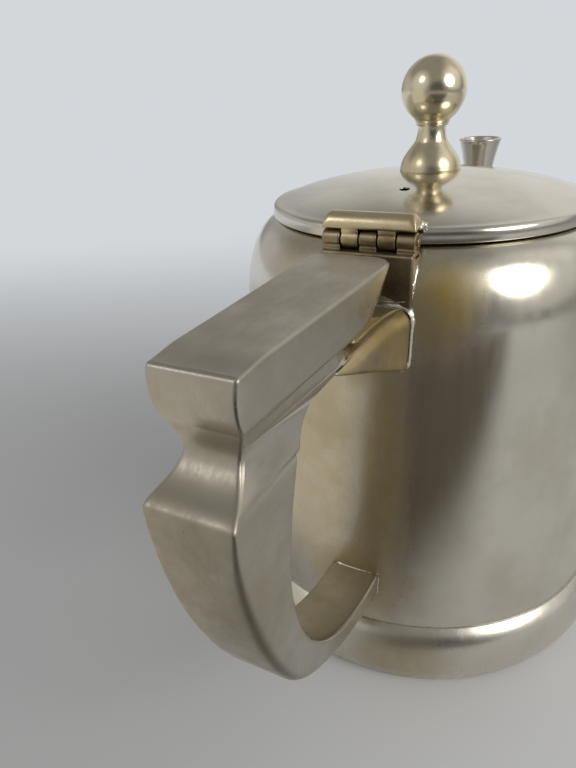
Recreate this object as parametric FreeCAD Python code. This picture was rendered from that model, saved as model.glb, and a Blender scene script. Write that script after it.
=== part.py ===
"""Silver-plated teapot with a hinged lid, an angular hollow handle and a flared spout.

The origin is the centre of the foot on the table, +Z is up, the spout points along +X and
the handle along -X. Everything is symmetric about the XZ plane. Sizes are in millimetres.
"""
import FreeCAD, Part
import math
import os

Vector = FreeCAD.Vector
os.makedirs("parts", exist_ok=True)

# Pot: raised from sheet, narrowing upwards, with a rounded shoulder and an open mouth.
sheet = 1.2                # thickness of the pot's wall
pot_low_radius = 49.6      # outside of the wall where the foot moulding starts
pot_shoulder_radius = 45.2 # outside of the wall where the shoulder starts to turn in
pot_height = 107.4         # height of the mouth's edge
shoulder_rise = 15.1       # from that turn up to the mouth's edge
mouth_radius = 36.0        # edge of the sheet at the mouth

# Foot moulding and bottom.
foot_height = 17.9         # top edge of the moulding
foot_step = 0.3            # how far the moulding's top edge stands out from the wall
foot_bulge = 3.3           # how far its belly stands out from the wall
foot_inset = 3.2           # how far its resting face reaches in under the wall
foot_under = 2.0           # height of the wall's lower edge above the table
bottom_sheet = 1.4         # thickness of the bottom disc

# Collar that lines the mouth and guides the lid.
collar_wall = 1.2
collar_depth = 6.0

# Lid.
lid_radius = 38.0          # outside of the lid's rim
lid_gap = 0.4              # open line between the lid's rim and the mouth's edge
lid_rim_height = 2.1       # height of the upright rim
lid_rim_wall = 1.3
lid_rise = 6.3             # rise of the dome above the rim
lid_sheet = 1.0
bezel_clearance = 0.7      # between the lid's inner ring and the mouth's collar
bezel_wall = 1.0
bezel_depth = 3.6          # how far the inner ring reaches below the mouth's edge
vent_radius = 1.1
vent_place = 19.5          # distance of the steam vent from the lid's centre

# Finial: a bell-shaped base with a waist, a ball on top, a stud, a washer and a nut.
finial_flange_radius = 7.2
finial_flange_height = 0.4
finial_bell_radius = 7.0
finial_bell_height = 6.2   # from the lid's top to the crease under the neck
finial_crease_radius = 3.7
finial_waist_radius = 3.2
finial_top_radius = 3.6
finial_base_height = 10.8  # from the lid's top to the seat of the ball
finial_waist_place = 9.1   # height of the narrowest place above the lid's top
ball_radius = 7.3
ball_sink = 1.1            # how far the ball is cut flat for its seat
stud_radius = 1.5
stud_in_ball = 5.0
stud_end = 0.8             # stud below the nut
washer_radius = 4.2
washer_thickness = 0.8
nut_across_flats = 5.5
nut_height = 2.4

# Hinge: a bracket on the shoulder, a leaf on the lid and a pin through five knuckles.
hinge_half_width = 9.4
hinge_place = 40.7         # distance of the pin from the pot's axis
hinge_above_mouth = 1.3    # height of the pin above the mouth's edge
knuckle_radius = 1.8
knuckle_count = 5
knuckle_gap = 0.3          # between one knuckle and the next
pin_radius = 0.8
pin_clearance = 0.05       # radial, in the lid's knuckles
pin_head = 0.4             # how far the pin stands out at each end
leaf_thickness = 1.3
leaf_reach = 10.5          # how far the leaf reaches onto the lid from the pin
leaf_overhang = 1.6        # how far the leaf's rolled edge passes the pin
leaf_gap = 0.35            # between the leaf and the bracket's knuckles
bracket_front = 2.9        # from the pin to the bracket's outer face
bracket_drop = 2.7         # from the pin down to the bracket's top
bracket_depth = 12.0       # how far the bracket runs down the shoulder
web_half = 1.5             # half the thickness of a knuckle's root

# Spout.
spout_sheet = 1.0
spout_root_place = 41.0    # start of the centre line, inside the wall
spout_root_height = 48.0
spout_root_radius = 12.5
spout_bow_place = 59.5     # pull of the lower bow
spout_bow_height = 60.0
spout_rise_place = 57.0    # pull of the upper rise
spout_rise_drop = 25.5     # from the lip down to that pull
spout_tip_place = 57.0
spout_above_mouth = 10.1   # height of the lip above the mouth's edge
spout_throat_radius = 4.2  # narrowest outside radius, below the flare
spout_tip_radius = 6.4     # flared lip
spout_flare_share = 0.14   # share of the length taken by the flare
strainer_rise = 5.0        # from the start of the centre line up to the strainer's middle
strainer_hole_radius = 1.6
strainer_pitch = 4.6
strainer_rings = 2

# Handle: hollow, pressed in two halves that meet in the plane of symmetry.
handle_sheet = 1.3
handle_reach = 105.4       # lower outer edge, the farthest point of the handle
arm_setback = 4.7          # upper outer edge, in from the lower one
arm_edge_drop = 0.9        # how far the top falls to that edge
arm_drop_length = 6.5      # length over which it falls
arm_above_mouth = 0.5      # height of the arm's top above the mouth's edge
arm_height = 8.6           # height of the arm's upright side
arm_outer_half_width = 6.7
arm_inner_half_width = 8.1
arm_end_gap = 4.0          # from the shoulder's turn out to the arm's rounded end
arm_end_round = 6.0        # depth of the rounding of that end, seen from above
arm_nose_depth = 3.2       # rounding of its lower corner, seen from the side: length and height
arm_nose_rise = 5.0
waist_setback = 7.4        # back of the waist, in from the lower outer edge
waist_drop = 12.4          # from the arm's top down to the waist's deepest line
waist_half_width = 4.8
rib_depth = 3.1            # how far the rib under the arm hangs below the arm's side
rib_end = 13.8             # from the arm's rounded end out to the end of the rib
rib_round = 6.2            # rounding between the rib and the grip
grip_drop = 19.2           # from the arm's top down to the lower outer edge
grip_half_width = 7.0
grip_low_half_width = 5.5  # half width at the lower joint
grip_top_depth = 17.1      # thickness of the grip at its top
grip_lean = 3.2            # how far the grip's back has leaned in half way down
grip_mid_depth = 10.6      # thickness half way down
grip_mid_drop = 20.7       # from the lower outer edge down to there
grip_sweep = 13.7          # how far the back has swept in at the lower bend
grip_bend_drop = 42.7      # from the lower outer edge down to that bend
joint_top = 32.2           # lower joint on the pot's wall
joint_bottom = 26.5

# Neck: the cast stub that carries the arm's end on the pot's shoulder.
neck_half_width = 8.3
neck_drop = 15.3           # from the arm's underside down to its lower edge on the wall
neck_run = 25.8            # how far it runs out under the arm from the arm's rounded end
neck_round = 2.0
neck_top_drop = 4.5        # how far its top lies under the arm's underside at the wall
neck_top_run = 8.8         # how far out from the arm's rounded end it has risen to that underside


def plain_box(x0, x1, y0, y1, z0, z1):
    """An upright box between the given limits."""
    return Part.makeBox(x1 - x0, y1 - y0, z1 - z0, Vector(x0, y0, z0))


def upright_cylinder(radius, z0, z1, x=0.0, y=0.0):
    """A solid cylinder about a vertical line."""
    return Part.makeCylinder(radius, z1 - z0, Vector(x, y, z0), Vector(0, 0, 1))


def cross_cylinder(radius, y0, y1, x, z):
    """A solid cylinder along Y."""
    return Part.makeCylinder(radius, y1 - y0, Vector(x, y0, z), Vector(0, 1, 0))


def bezier(a, b, c, d, count):
    """Points of a cubic curve from a to d, pulled towards b and c, as (across, up) pairs."""
    points = []
    for index in range(count + 1):
        t = index / count
        s = 1.0 - t
        weights = (s * s * s, 3 * s * s * t, 3 * s * t * t, t * t * t)
        across = sum(w * p[0] for w, p in zip(weights, (a, b, c, d)))
        up = sum(w * p[1] for w, p in zip(weights, (a, b, c, d)))
        points.append((across, up))
    return points


def in_xz(points):
    """Turns (across, up) pairs into points of the XZ plane."""
    return [Vector(p[0], 0, p[1]) for p in points]


def smooth_edge(points):
    """One smooth edge through (across, up) pairs in the XZ plane."""
    curve = Part.BSplineCurve()
    curve.interpolate(in_xz(points))
    return curve.toShape()


def straight_edge(start, end):
    """One straight edge between two (across, up) pairs in the XZ plane."""
    return Part.makeLine(Vector(start[0], 0, start[1]), Vector(end[0], 0, end[1]))


def turned(edges):
    """The solid that a closed outline in the XZ plane sweeps about the Z axis."""
    face = Part.Face(Part.Wire(edges))
    return face.revolve(Vector(0, 0, 0), Vector(0, 0, 1), 360)


def moved_across(points, distance):
    """Points moved sideways by a distance, to the left of the direction of travel."""
    result = []
    last = len(points) - 1
    for index, point in enumerate(points):
        before = points[max(index - 1, 0)]
        after = points[min(index + 1, last)]
        along = (after[0] - before[0], after[1] - before[1])
        length = math.hypot(along[0], along[1])
        result.append((point[0] - along[1] / length * distance, point[1] + along[0] / length * distance))
    return result


def shrunk(points, distance):
    """A polygon of (across, up) pairs, listed anticlockwise, with each side moved in by a distance."""
    result = []
    count = len(points)
    for index in range(count):
        before = points[index - 1]
        here = points[index]
        after = points[(index + 1) % count]
        in_angle = math.atan2(here[1] - before[1], here[0] - before[0])
        out_angle = math.atan2(after[1] - here[1], after[0] - here[0])
        half_turn = 0.5 * (out_angle - in_angle)
        bisector = in_angle + half_turn + 0.5 * math.pi
        if math.cos(half_turn) < 0:
            bisector += math.pi
        reach = distance / abs(math.cos(half_turn))
        result.append((here[0] + reach * math.cos(bisector), here[1] + reach * math.sin(bisector)))
    return result


def side_prism(edges, half_width):
    """A closed outline in the XZ plane drawn out to both sides along Y."""
    face = Part.Face(Part.Wire(edges))
    face.translate(Vector(0, -half_width, 0))
    return face.extrude(Vector(0, 2 * half_width, 0))


def polygon_edges(points):
    """The straight edges of a closed polygon in the XZ plane."""
    return [straight_edge(points[i], points[(i + 1) % len(points)]) for i in range(len(points))]


def frustum(low, high):
    """A block between two level rectangles, each given as (x0, x1, half width, z)."""
    wires = []
    for x0, x1, half, z in (low, high):
        corners = [Vector(x0, -half, z), Vector(x1, -half, z), Vector(x1, half, z), Vector(x0, half, z)]
        wires.append(Part.makePolygon(corners + [corners[0]]))
    return Part.makeLoft(wires, True, True)


def joined(shapes):
    """One solid from several that touch or overlap."""
    whole = shapes[0]
    for shape in shapes[1:]:
        whole = whole.fuse(shape)
    return whole.removeSplitter()


def keep(name, shape):
    """Writes one piece and prints its volume."""
    solids = shape.Solids
    piece = solids[0] if len(solids) == 1 else Part.makeCompound(solids)
    piece.exportStep("parts/" + name + ".step")
    print(name, len(solids), "solid", round(piece.Volume, 1), piece.isValid())


# Heights and places that follow from the sizes above.
shoulder_height = pot_height - shoulder_rise
hinge_height = pot_height + hinge_above_mouth
spout_tip_height = pot_height + spout_above_mouth
spout_rise_height = spout_tip_height - spout_rise_drop
arm_top = pot_height + arm_above_mouth
arm_low = arm_top - arm_height
arm_outer_place = handle_reach - arm_setback
arm_end_place = pot_shoulder_radius + arm_end_gap
waist_place = handle_reach - waist_setback
waist_height = arm_top - waist_drop
rib_end_place = arm_end_place + rib_end
grip_top = arm_top - grip_drop
grip_mid_height = grip_top - grip_mid_drop
grip_bend_height = grip_top - grip_bend_drop
neck_bottom = arm_low - neck_drop
neck_reach = arm_end_place + neck_run

# Outline of the pot's outside, from the lower edge to the mouth.
wall_rise = shoulder_height - foot_height
wall_taper = pot_low_radius - pot_shoulder_radius
shoulder_turn = pot_shoulder_radius - mouth_radius
wall_points = bezier(
    (pot_low_radius, foot_height),
    (pot_low_radius - 0.16 * wall_taper, foot_height + 0.36 * wall_rise),
    (pot_low_radius - 0.68 * wall_taper, foot_height + 0.83 * wall_rise),
    (pot_shoulder_radius, shoulder_height), 10)
shoulder_points = bezier(
    (pot_shoulder_radius, shoulder_height),
    (pot_shoulder_radius - 0.11 * shoulder_turn, shoulder_height + 0.46 * shoulder_rise),
    (pot_shoulder_radius - 0.36 * shoulder_turn, shoulder_height + 0.90 * shoulder_rise),
    (mouth_radius, pot_height), 10)
outside = wall_points + shoulder_points[1:]
inside = moved_across(outside, sheet)
inside[0] = (pot_low_radius - sheet, foot_height)
under_mouth = inside[-1][1]
inside[-1] = (mouth_radius, under_mouth)

pot_fill = turned([
    straight_edge((0, 0), (pot_low_radius, 0)),
    straight_edge((pot_low_radius, 0), outside[0]),
    smooth_edge(outside),
    straight_edge(outside[-1], (0, pot_height)),
    straight_edge((0, pot_height), (0, 0))])

pot_shell = turned([
    straight_edge((pot_low_radius, foot_under), outside[0]),
    smooth_edge(outside),
    straight_edge(outside[-1], inside[-1]),
    smooth_edge(inside[::-1]),
    straight_edge(inside[0], (pot_low_radius - sheet, foot_under)),
    straight_edge((pot_low_radius - sheet, foot_under), (pot_low_radius, foot_under))])

# The spout's strainer: holes pierced in rings through the wall behind the spout's root.
strainer_height = spout_root_height + strainer_rise
strainer_holes = []
for ring in range(strainer_rings + 1):
    for step in range(max(1, 6 * ring)):
        angle = 2 * math.pi * step / max(1, 6 * ring)
        hole_y = strainer_pitch * ring * math.cos(angle)
        hole_z = strainer_height + strainer_pitch * ring * math.sin(angle)
        start = Vector(0.5 * pot_low_radius, hole_y, hole_z)
        strainer_holes.append(Part.makeCylinder(strainer_hole_radius, pot_low_radius, start, Vector(1, 0, 0)))
pot_shell = pot_shell.cut(Part.makeCompound(strainer_holes))
keep("pot_shell", pot_shell)

# Foot moulding: a convex band around the wall's lower end, with a resting face turned in under it.
belly = [
    (pot_low_radius + foot_step, foot_height),
    (pot_low_radius + 0.50 * foot_bulge, 0.92 * foot_height),
    (pot_low_radius + 0.80 * foot_bulge, 0.84 * foot_height),
    (pot_low_radius + foot_bulge, 0.66 * foot_height),
    (pot_low_radius + 0.96 * foot_bulge, 0.40 * foot_height),
    (pot_low_radius + 0.66 * foot_bulge, 0.18 * foot_height),
    (pot_low_radius - 0.05 * foot_bulge, 0)]
foot_ring = turned([
    smooth_edge(belly),
    straight_edge(belly[-1], (pot_low_radius - foot_inset, 0)),
    straight_edge((pot_low_radius - foot_inset, 0), (pot_low_radius - foot_inset, foot_under)),
    straight_edge((pot_low_radius - foot_inset, foot_under), (pot_low_radius, foot_under)),
    straight_edge((pot_low_radius, foot_under), (pot_low_radius, foot_height)),
    straight_edge((pot_low_radius, foot_height), belly[0])])
keep("foot_ring", foot_ring)

bottom_disc = upright_cylinder(pot_low_radius - sheet, foot_under, foot_under + bottom_sheet)
keep("bottom_disc", bottom_disc)

collar = upright_cylinder(mouth_radius, pot_height - collar_depth, pot_height)
collar = collar.cut(upright_cylinder(mouth_radius - collar_wall, pot_height - collar_depth, pot_height))
keep("mouth_collar", collar)

# Lid: an upright rim with a shallow dome.
rim_low = pot_height + lid_gap
rim_high = rim_low + lid_rim_height
lid_top = rim_high + lid_rise
dome_points = bezier(
    (lid_radius, rim_high),
    (0.79 * lid_radius, rim_high + 0.50 * lid_rise),
    (0.42 * lid_radius, rim_high + 0.97 * lid_rise),
    (0, lid_top), 10)
under_points = moved_across(dome_points, lid_sheet)
under_points[-1] = (0, lid_top - lid_sheet)
rim_inside = lid_radius - lid_rim_wall
under_points = [p for p in under_points if p[0] < rim_inside - 1.0]
dome_edge = smooth_edge(dome_points)
under_edge = smooth_edge([(rim_inside, under_points[0][1] - 0.9)] + under_points)
lid_fill = turned([
    straight_edge((0, rim_low), (lid_radius, rim_low)),
    straight_edge((lid_radius, rim_low), dome_points[0]),
    dome_edge,
    straight_edge((0, lid_top), (0, rim_low))])
lid_hollow = turned([
    straight_edge((0, rim_low), (rim_inside, rim_low)),
    straight_edge((rim_inside, rim_low), (rim_inside, under_points[0][1] - 0.9)),
    under_edge,
    straight_edge((0, lid_top - lid_sheet), (0, rim_low))])
lid_shell = lid_fill.cut(lid_hollow)
vent = upright_cylinder(vent_radius, rim_low, lid_top + 1, -vent_place)
stud_hole = upright_cylinder(stud_radius, rim_low, lid_top + 1)
lid_shell = lid_shell.cut(vent).cut(stud_hole)
keep("lid_shell", lid_shell)

# Ring under the lid that drops into the mouth's collar.
bezel_radius = mouth_radius - collar_wall - bezel_clearance
bezel = upright_cylinder(bezel_radius, pot_height - bezel_depth, lid_top)
bezel = bezel.cut(upright_cylinder(bezel_radius - bezel_wall, pot_height - bezel_depth, lid_top))
bezel_upper = bezel.common(upright_cylinder(lid_radius, rim_low, lid_top)).common(lid_hollow)
bezel_lower = bezel.common(upright_cylinder(lid_radius, pot_height - bezel_depth, rim_low))
bezel = joined([bezel_lower, bezel_upper])
keep("lid_bezel", bezel)

# Finial.
seat_height = lid_top + finial_base_height
bell_high = lid_top + finial_bell_height
waist_high = lid_top + finial_waist_place
bell_points = bezier(
    (finial_bell_radius, lid_top + finial_flange_height),
    (0.95 * finial_bell_radius, lid_top + 0.48 * finial_bell_height),
    (0.71 * finial_bell_radius, lid_top + 0.73 * finial_bell_height),
    (finial_crease_radius, bell_high), 6)
neck_points = bezier(
    (finial_crease_radius, bell_high),
    (0.5 * (finial_crease_radius + finial_waist_radius), bell_high + 0.3 * (waist_high - bell_high)),
    (finial_waist_radius, bell_high + 0.6 * (waist_high - bell_high)),
    (finial_waist_radius, waist_high), 5)
top_points = bezier(
    (finial_waist_radius, waist_high),
    (finial_waist_radius, waist_high + 0.35 * (seat_height - waist_high)),
    (finial_top_radius - 0.15, seat_height - 0.4),
    (finial_top_radius, seat_height), 4)
flange_low = lid_top - 0.8
finial_base = turned([
    straight_edge((stud_radius, flange_low), (finial_flange_radius, flange_low)),
    straight_edge((finial_flange_radius, flange_low), (finial_flange_radius, lid_top + 0.5 * finial_flange_height)),
    straight_edge((finial_flange_radius, lid_top + 0.5 * finial_flange_height), bell_points[0]),
    smooth_edge(bell_points),
    smooth_edge(neck_points + top_points[1:]),
    straight_edge(top_points[-1], (stud_radius, seat_height)),
    straight_edge((stud_radius, seat_height), (stud_radius, flange_low))])
finial_base = finial_base.cut(lid_fill)
keep("finial_base", finial_base)

ball_centre = seat_height + ball_radius - ball_sink
ball = Part.makeSphere(ball_radius, Vector(0, 0, ball_centre))
ball = ball.common(upright_cylinder(2 * ball_radius, seat_height, ball_centre + 2 * ball_radius))
ball = ball.cut(upright_cylinder(stud_radius, seat_height, seat_height + stud_in_ball))
keep("finial_ball", ball)

washer_low = lid_top - lid_sheet - washer_thickness
nut_low = washer_low - nut_height
washer = upright_cylinder(washer_radius, washer_low, lid_top).common(lid_hollow)
washer = washer.cut(upright_cylinder(stud_radius, washer_low, lid_top))
keep("finial_washer", washer)

nut_corner = 0.5 * nut_across_flats / math.cos(math.pi / 6)
nut_corners = []
for side in range(6):
    angle = math.pi / 3 * side
    nut_corners.append(Vector(nut_corner * math.cos(angle), nut_corner * math.sin(angle), nut_low))
nut_face = Part.Face(Part.makePolygon(nut_corners + [nut_corners[0]]))
nut = nut_face.extrude(Vector(0, 0, nut_height))
nut = nut.cut(upright_cylinder(stud_radius, nut_low, washer_low))
keep("finial_nut", nut)

stud = upright_cylinder(stud_radius, nut_low - stud_end, seat_height + stud_in_ball)
keep("finial_stud", stud)

# Hinge knuckles: the odd ones belong to the bracket, the even ones to the leaf.
knuckle_length = 2 * hinge_half_width / knuckle_count
bracket_top = hinge_height - bracket_drop
leaf_low = hinge_height + knuckle_radius + leaf_gap
bracket_parts = [plain_box(-hinge_place - bracket_front, -hinge_place + web_half,
                           -hinge_half_width, hinge_half_width, bracket_top - bracket_depth, bracket_top)]
leaf_parts = []
bracket_bores = []
leaf_bores = []
for number in range(knuckle_count):
    low = -hinge_half_width + number * knuckle_length
    high = low + knuckle_length
    low += 0.5 * knuckle_gap if number > 0 else 0.0
    high -= 0.5 * knuckle_gap if number < knuckle_count - 1 else 0.0
    barrel = cross_cylinder(knuckle_radius, low, high, -hinge_place, hinge_height)
    if number % 2 == 0:
        root = plain_box(-hinge_place - web_half, -hinge_place + web_half, low, high, bracket_top, hinge_height)
        bracket_parts += [barrel, root]
        bracket_bores.append(cross_cylinder(pin_radius, low, high, -hinge_place, hinge_height))
    else:
        root = plain_box(-hinge_place - web_half, -hinge_place + web_half, low, high, hinge_height, leaf_low)
        leaf_parts += [barrel, root]
        leaf_bores.append(cross_cylinder(pin_radius + pin_clearance, low, high, -hinge_place, hinge_height))
bracket = joined(bracket_parts).cut(pot_fill).cut(Part.makeCompound(bracket_bores))
keep("hinge_bracket", bracket)

# Leaf: a rolled edge over the knuckles that goes over into a plate on the lid's dome.
roll_front = -hinge_place - leaf_overhang
leaf_back = -hinge_place + leaf_reach
leaf_zone = plain_box(roll_front, leaf_back, -hinge_half_width, hinge_half_width, rim_low, lid_top + leaf_thickness)
lid_cover = lid_fill.copy()
lid_cover.translate(Vector(0, 0, leaf_thickness))
plate = lid_cover.common(leaf_zone).cut(lid_fill)
plate = plate.common(plain_box(-lid_radius - 1, leaf_back, -hinge_half_width, hinge_half_width, leaf_low, lid_top + 2))
roll = plain_box(roll_front, -lid_radius + 4.0, -hinge_half_width, hinge_half_width,
                 leaf_low, leaf_low + leaf_thickness)
long_edges = [e for e in roll.Edges if abs(e.Vertexes[0].X - roll_front) < 0.001
              and abs(e.Vertexes[1].X - roll_front) < 0.001
              and abs(e.Vertexes[0].Z - e.Vertexes[1].Z) < 0.001]
roll = roll.makeFillet(0.4 * leaf_thickness, long_edges)
leaf = joined(leaf_parts + [roll.cut(lid_fill), plate]).cut(Part.makeCompound(leaf_bores))
keep("hinge_leaf", leaf)

pin = cross_cylinder(pin_radius, -hinge_half_width - pin_head, hinge_half_width + pin_head,
                     -hinge_place, hinge_height)
keep("hinge_pin", pin)


# Spout: circles along a curved centre line, wide at the root, narrow at the throat, flared at the lip.
def spout_tube(thinner, before, after):
    """The spout's outside, or its channel when made thinner and run on past both ends."""
    start = (spout_root_place, spout_root_height)
    bow = (spout_bow_place, spout_bow_height)
    rise = (spout_rise_place, spout_rise_height)
    tip = (spout_tip_place, spout_tip_height)
    count = 14
    points = bezier(start, bow, rise, tip, count)
    wires = []
    for index, point in enumerate(points):
        share = index / count
        back = points[max(index - 1, 0)]
        ahead = points[min(index + 1, count)]
        along = Vector(ahead[0] - back[0], 0, ahead[1] - back[1]).normalize()
        if index == 0:
            along = Vector(bow[0] - start[0], 0, bow[1] - start[1]).normalize()
        if index == count:
            along = Vector(tip[0] - rise[0], 0, tip[1] - rise[1]).normalize()
        flare_start = 1.0 - spout_flare_share
        if share <= flare_start:
            taper = math.sin(0.5 * math.pi * share / flare_start) ** 0.85
            radius = spout_root_radius + (spout_throat_radius - spout_root_radius) * taper
        else:
            flare = (share - flare_start) / spout_flare_share
            radius = spout_throat_radius + (spout_tip_radius - spout_throat_radius) * flare ** 1.5
        centre = Vector(point[0], 0, point[1])
        if index == 0:
            centre = centre - along * before
        if index == count:
            centre = centre + along * after
        wires.append(Part.Wire(Part.makeCircle(radius - thinner, centre, along)))
    return Part.makeLoft(wires, True, False)


spout = spout_tube(0.0, 0.0, 0.0).cut(spout_tube(spout_sheet, 0.5, 0.5)).cut(pot_fill)
spout_pieces = sorted(spout.Solids, key=lambda solid: solid.Volume)
spout = spout_pieces[-1]
keep("spout", spout)


# Handle.
def arm_block(inset):
    """The straight upper arm: a side outline cut to a plan that widens towards the pot."""
    side = shrunk([
        (-waist_place - 0.25 * (arm_outer_place - waist_place), arm_low),
        (-arm_end_place - arm_nose_depth, arm_low),
        (-arm_end_place - 0.3 * arm_nose_depth, arm_low + 0.35 * arm_nose_rise),
        (-arm_end_place, arm_low + arm_nose_rise),
        (-arm_end_place, arm_top),
        (-arm_outer_place + arm_drop_length, arm_top),
        (-arm_outer_place, arm_top - arm_edge_drop),
        (-arm_outer_place - 0.4, arm_top - 0.36 * arm_height),
        (-arm_outer_place + 0.1, arm_top - 0.68 * arm_height)], inset)
    block = side_prism(polygon_edges(side), 2 * arm_inner_half_width)
    far = -arm_outer_place - 2.0
    near = -arm_end_place - arm_end_round
    narrow = arm_outer_half_width - inset
    wide = arm_inner_half_width - inset
    tip = Vector(-arm_end_place - inset, 0, 0)
    plan = Part.Wire([
        Part.makeLine(Vector(far, narrow, 0), Vector(far, -narrow, 0)),
        Part.makeLine(Vector(far, -narrow, 0), Vector(near, -wide, 0)),
        Part.Arc(Vector(near, -wide, 0), tip, Vector(near, wide, 0)).toShape(),
        Part.makeLine(Vector(near, wide, 0), Vector(far, narrow, 0))])
    prism = Part.Face(plan).extrude(Vector(0, 0, 2 * arm_top))
    return block.common(prism)


def waist_block(inset):
    """The waist: slanted facets that narrow from the arm and widen again to the grip, with a rib under the arm."""
    inner_low = -handle_reach + grip_top_depth
    inner_waist = inner_low + 1.3
    upper = frustum((-waist_place + inset, inner_waist - inset, waist_half_width - inset, waist_height),
                    (-waist_place - 1.2 + inset, inner_waist - inset, arm_outer_half_width - inset, arm_low))
    lower = frustum((-handle_reach + inset, inner_low - inset, grip_half_width - inset, grip_top),
                    (-waist_place + inset, inner_waist - inset, waist_half_width - inset, waist_height))
    rib_low = arm_low - rib_depth
    overlap = 2 * inset + 0.4
    corner = []
    for step in range(5):
        angle = math.radians(90 + 90 * step / 4)
        corner.append((inner_waist + rib_round + rib_round * math.cos(angle),
                       rib_low - rib_round + rib_round * math.sin(angle)))
    outline = [(-waist_place, grip_top - overlap), (inner_low, grip_top - overlap)]
    outline += corner[::-1]
    outline += [(-rib_end_place, rib_low), (-rib_end_place, arm_low + overlap), (-waist_place, arm_low + overlap)]
    middle = shrunk(outline, inset) if inset > 0 else outline
    core = side_prism(polygon_edges(middle), waist_half_width - inset)
    return [upper, lower, core]


def grip_block(inset):
    """The curved grip from the lower outer edge down to the joint on the pot's wall."""
    bend = (-handle_reach + grip_sweep, grip_bend_height)
    inner_mid = (-handle_reach + grip_lean + grip_mid_depth, grip_mid_height)
    inner_top = (-handle_reach + grip_top_depth, grip_top)
    inside_wall = -pot_low_radius + sheet
    outer_upper = bezier(
        (-handle_reach, grip_top),
        (-handle_reach - 0.6, grip_top - 0.30 * (grip_top - grip_bend_height)),
        (bend[0] - 0.60 * grip_sweep, grip_bend_height + 0.28 * (grip_top - grip_bend_height)),
        bend, 8)
    low_run = inside_wall - bend[0]
    outer_lower = bezier(
        bend,
        (bend[0] + 0.15 * low_run, grip_bend_height - 0.48 * (grip_bend_height - joint_bottom)),
        (bend[0] + 0.57 * low_run, joint_bottom + 0.15 * (grip_bend_height - joint_bottom)),
        (inside_wall, joint_bottom), 8)
    inner_run = inside_wall - inner_mid[0]
    inner_lower = bezier(
        (inside_wall, joint_top),
        (inside_wall - 0.53 * inner_run, joint_top + 0.02 * (grip_mid_height - joint_top)),
        (inner_mid[0] + 0.07 * inner_run, joint_top + 0.36 * (grip_mid_height - joint_top)),
        inner_mid, 8)
    inner_upper = bezier(
        inner_mid,
        (inner_mid[0] - 0.3, grip_mid_height + 0.34 * (grip_top - grip_mid_height)),
        (inner_top[0] - 1.2, grip_top - 0.28 * (grip_top - grip_mid_height)),
        inner_top, 6)
    outer = moved_across(outer_upper + outer_lower[1:], inset)
    inner = moved_across(inner_lower + inner_upper[1:], inset)
    if inset > 0:
        outer[0] = (outer[0][0], grip_top - inset)
        inner[-1] = (inner[-1][0], grip_top - inset)
    outer[-1] = (inside_wall, outer[-1][1])
    inner[0] = (inside_wall, inner[0][1])
    block = side_prism([
        smooth_edge(outer),
        straight_edge(outer[-1], inner[0]),
        smooth_edge(inner),
        straight_edge(inner[-1], outer[0])], grip_half_width - inset)
    wide = grip_half_width - inset
    thin = grip_low_half_width - inset
    taper_end = joint_bottom - grip_half_width
    corners = [(-wide, grip_top + wide), (-wide, grip_mid_height), (-thin, taper_end),
               (thin, taper_end), (wide, grip_mid_height), (wide, grip_top + wide)]
    points = [Vector(-2 * handle_reach, y, z) for y, z in corners]
    taper = Part.Face(Part.makePolygon(points + [points[0]])).extrude(Vector(2 * handle_reach, 0, 0))
    return block.common(taper)


handle_outside = joined([arm_block(0.0), grip_block(0.0)] + waist_block(0.0))
handle_shell = handle_outside.cut(pot_fill)
for hollow in [arm_block(handle_sheet), grip_block(handle_sheet)] + waist_block(handle_sheet):
    handle_shell = handle_shell.cut(hollow)
far_box = 2 * handle_reach
right_side = handle_shell.common(plain_box(-far_box, 0, -far_box, 0, 0, far_box))
left_side = handle_shell.common(plain_box(-far_box, 0, 0, far_box, 0, far_box))
keep("handle_right_half", right_side)
keep("handle_left_half", left_side)

# Neck: a stub under the arm's end whose lower side rises from the wall to the rib under the arm.
neck_top = arm_low
rib_underside = arm_low - rib_depth
neck_side = [
    (-mouth_radius, neck_bottom - 3.0),
    (-mouth_radius, neck_top - neck_top_drop),
    (-pot_shoulder_radius - 1.0, neck_top - neck_top_drop),
    (-arm_end_place - 0.45 * neck_top_run, neck_top - 0.6 * neck_top_drop),
    (-arm_end_place - neck_top_run, neck_top),
    (-rib_end_place, neck_top),
    (-rib_end_place, rib_underside),
    (-neck_reach, rib_underside),
    (-neck_reach + 2.0, rib_underside - 1.2),
    (-pot_shoulder_radius - 1.0, neck_bottom)]
neck = side_prism(polygon_edges(neck_side), neck_half_width)
neck_low_edges = []
for edge in neck.Edges:
    first = edge.Vertexes[0]
    second = edge.Vertexes[1]
    level = abs(abs(first.Y) - neck_half_width) < 0.001 and abs(first.Y - second.Y) < 0.001
    if level and max(first.Z, second.Z) < rib_underside - 1.0 and abs(first.X - second.X) > 1.0:
        neck_low_edges.append(edge)
neck = neck.makeFillet(neck_round, neck_low_edges)
neck = neck.cut(pot_fill).cut(handle_outside).cut(bracket)
keep("handle_neck", neck)
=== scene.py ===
"""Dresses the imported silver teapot: softened pieces, solder, metals, stage and camera.

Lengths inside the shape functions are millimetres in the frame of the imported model; they become metres when a
surface is put into a mesh.
"""
import math

import bpy
import bmesh
import numpy as np
from mathutils import Matrix, Vector


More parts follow.
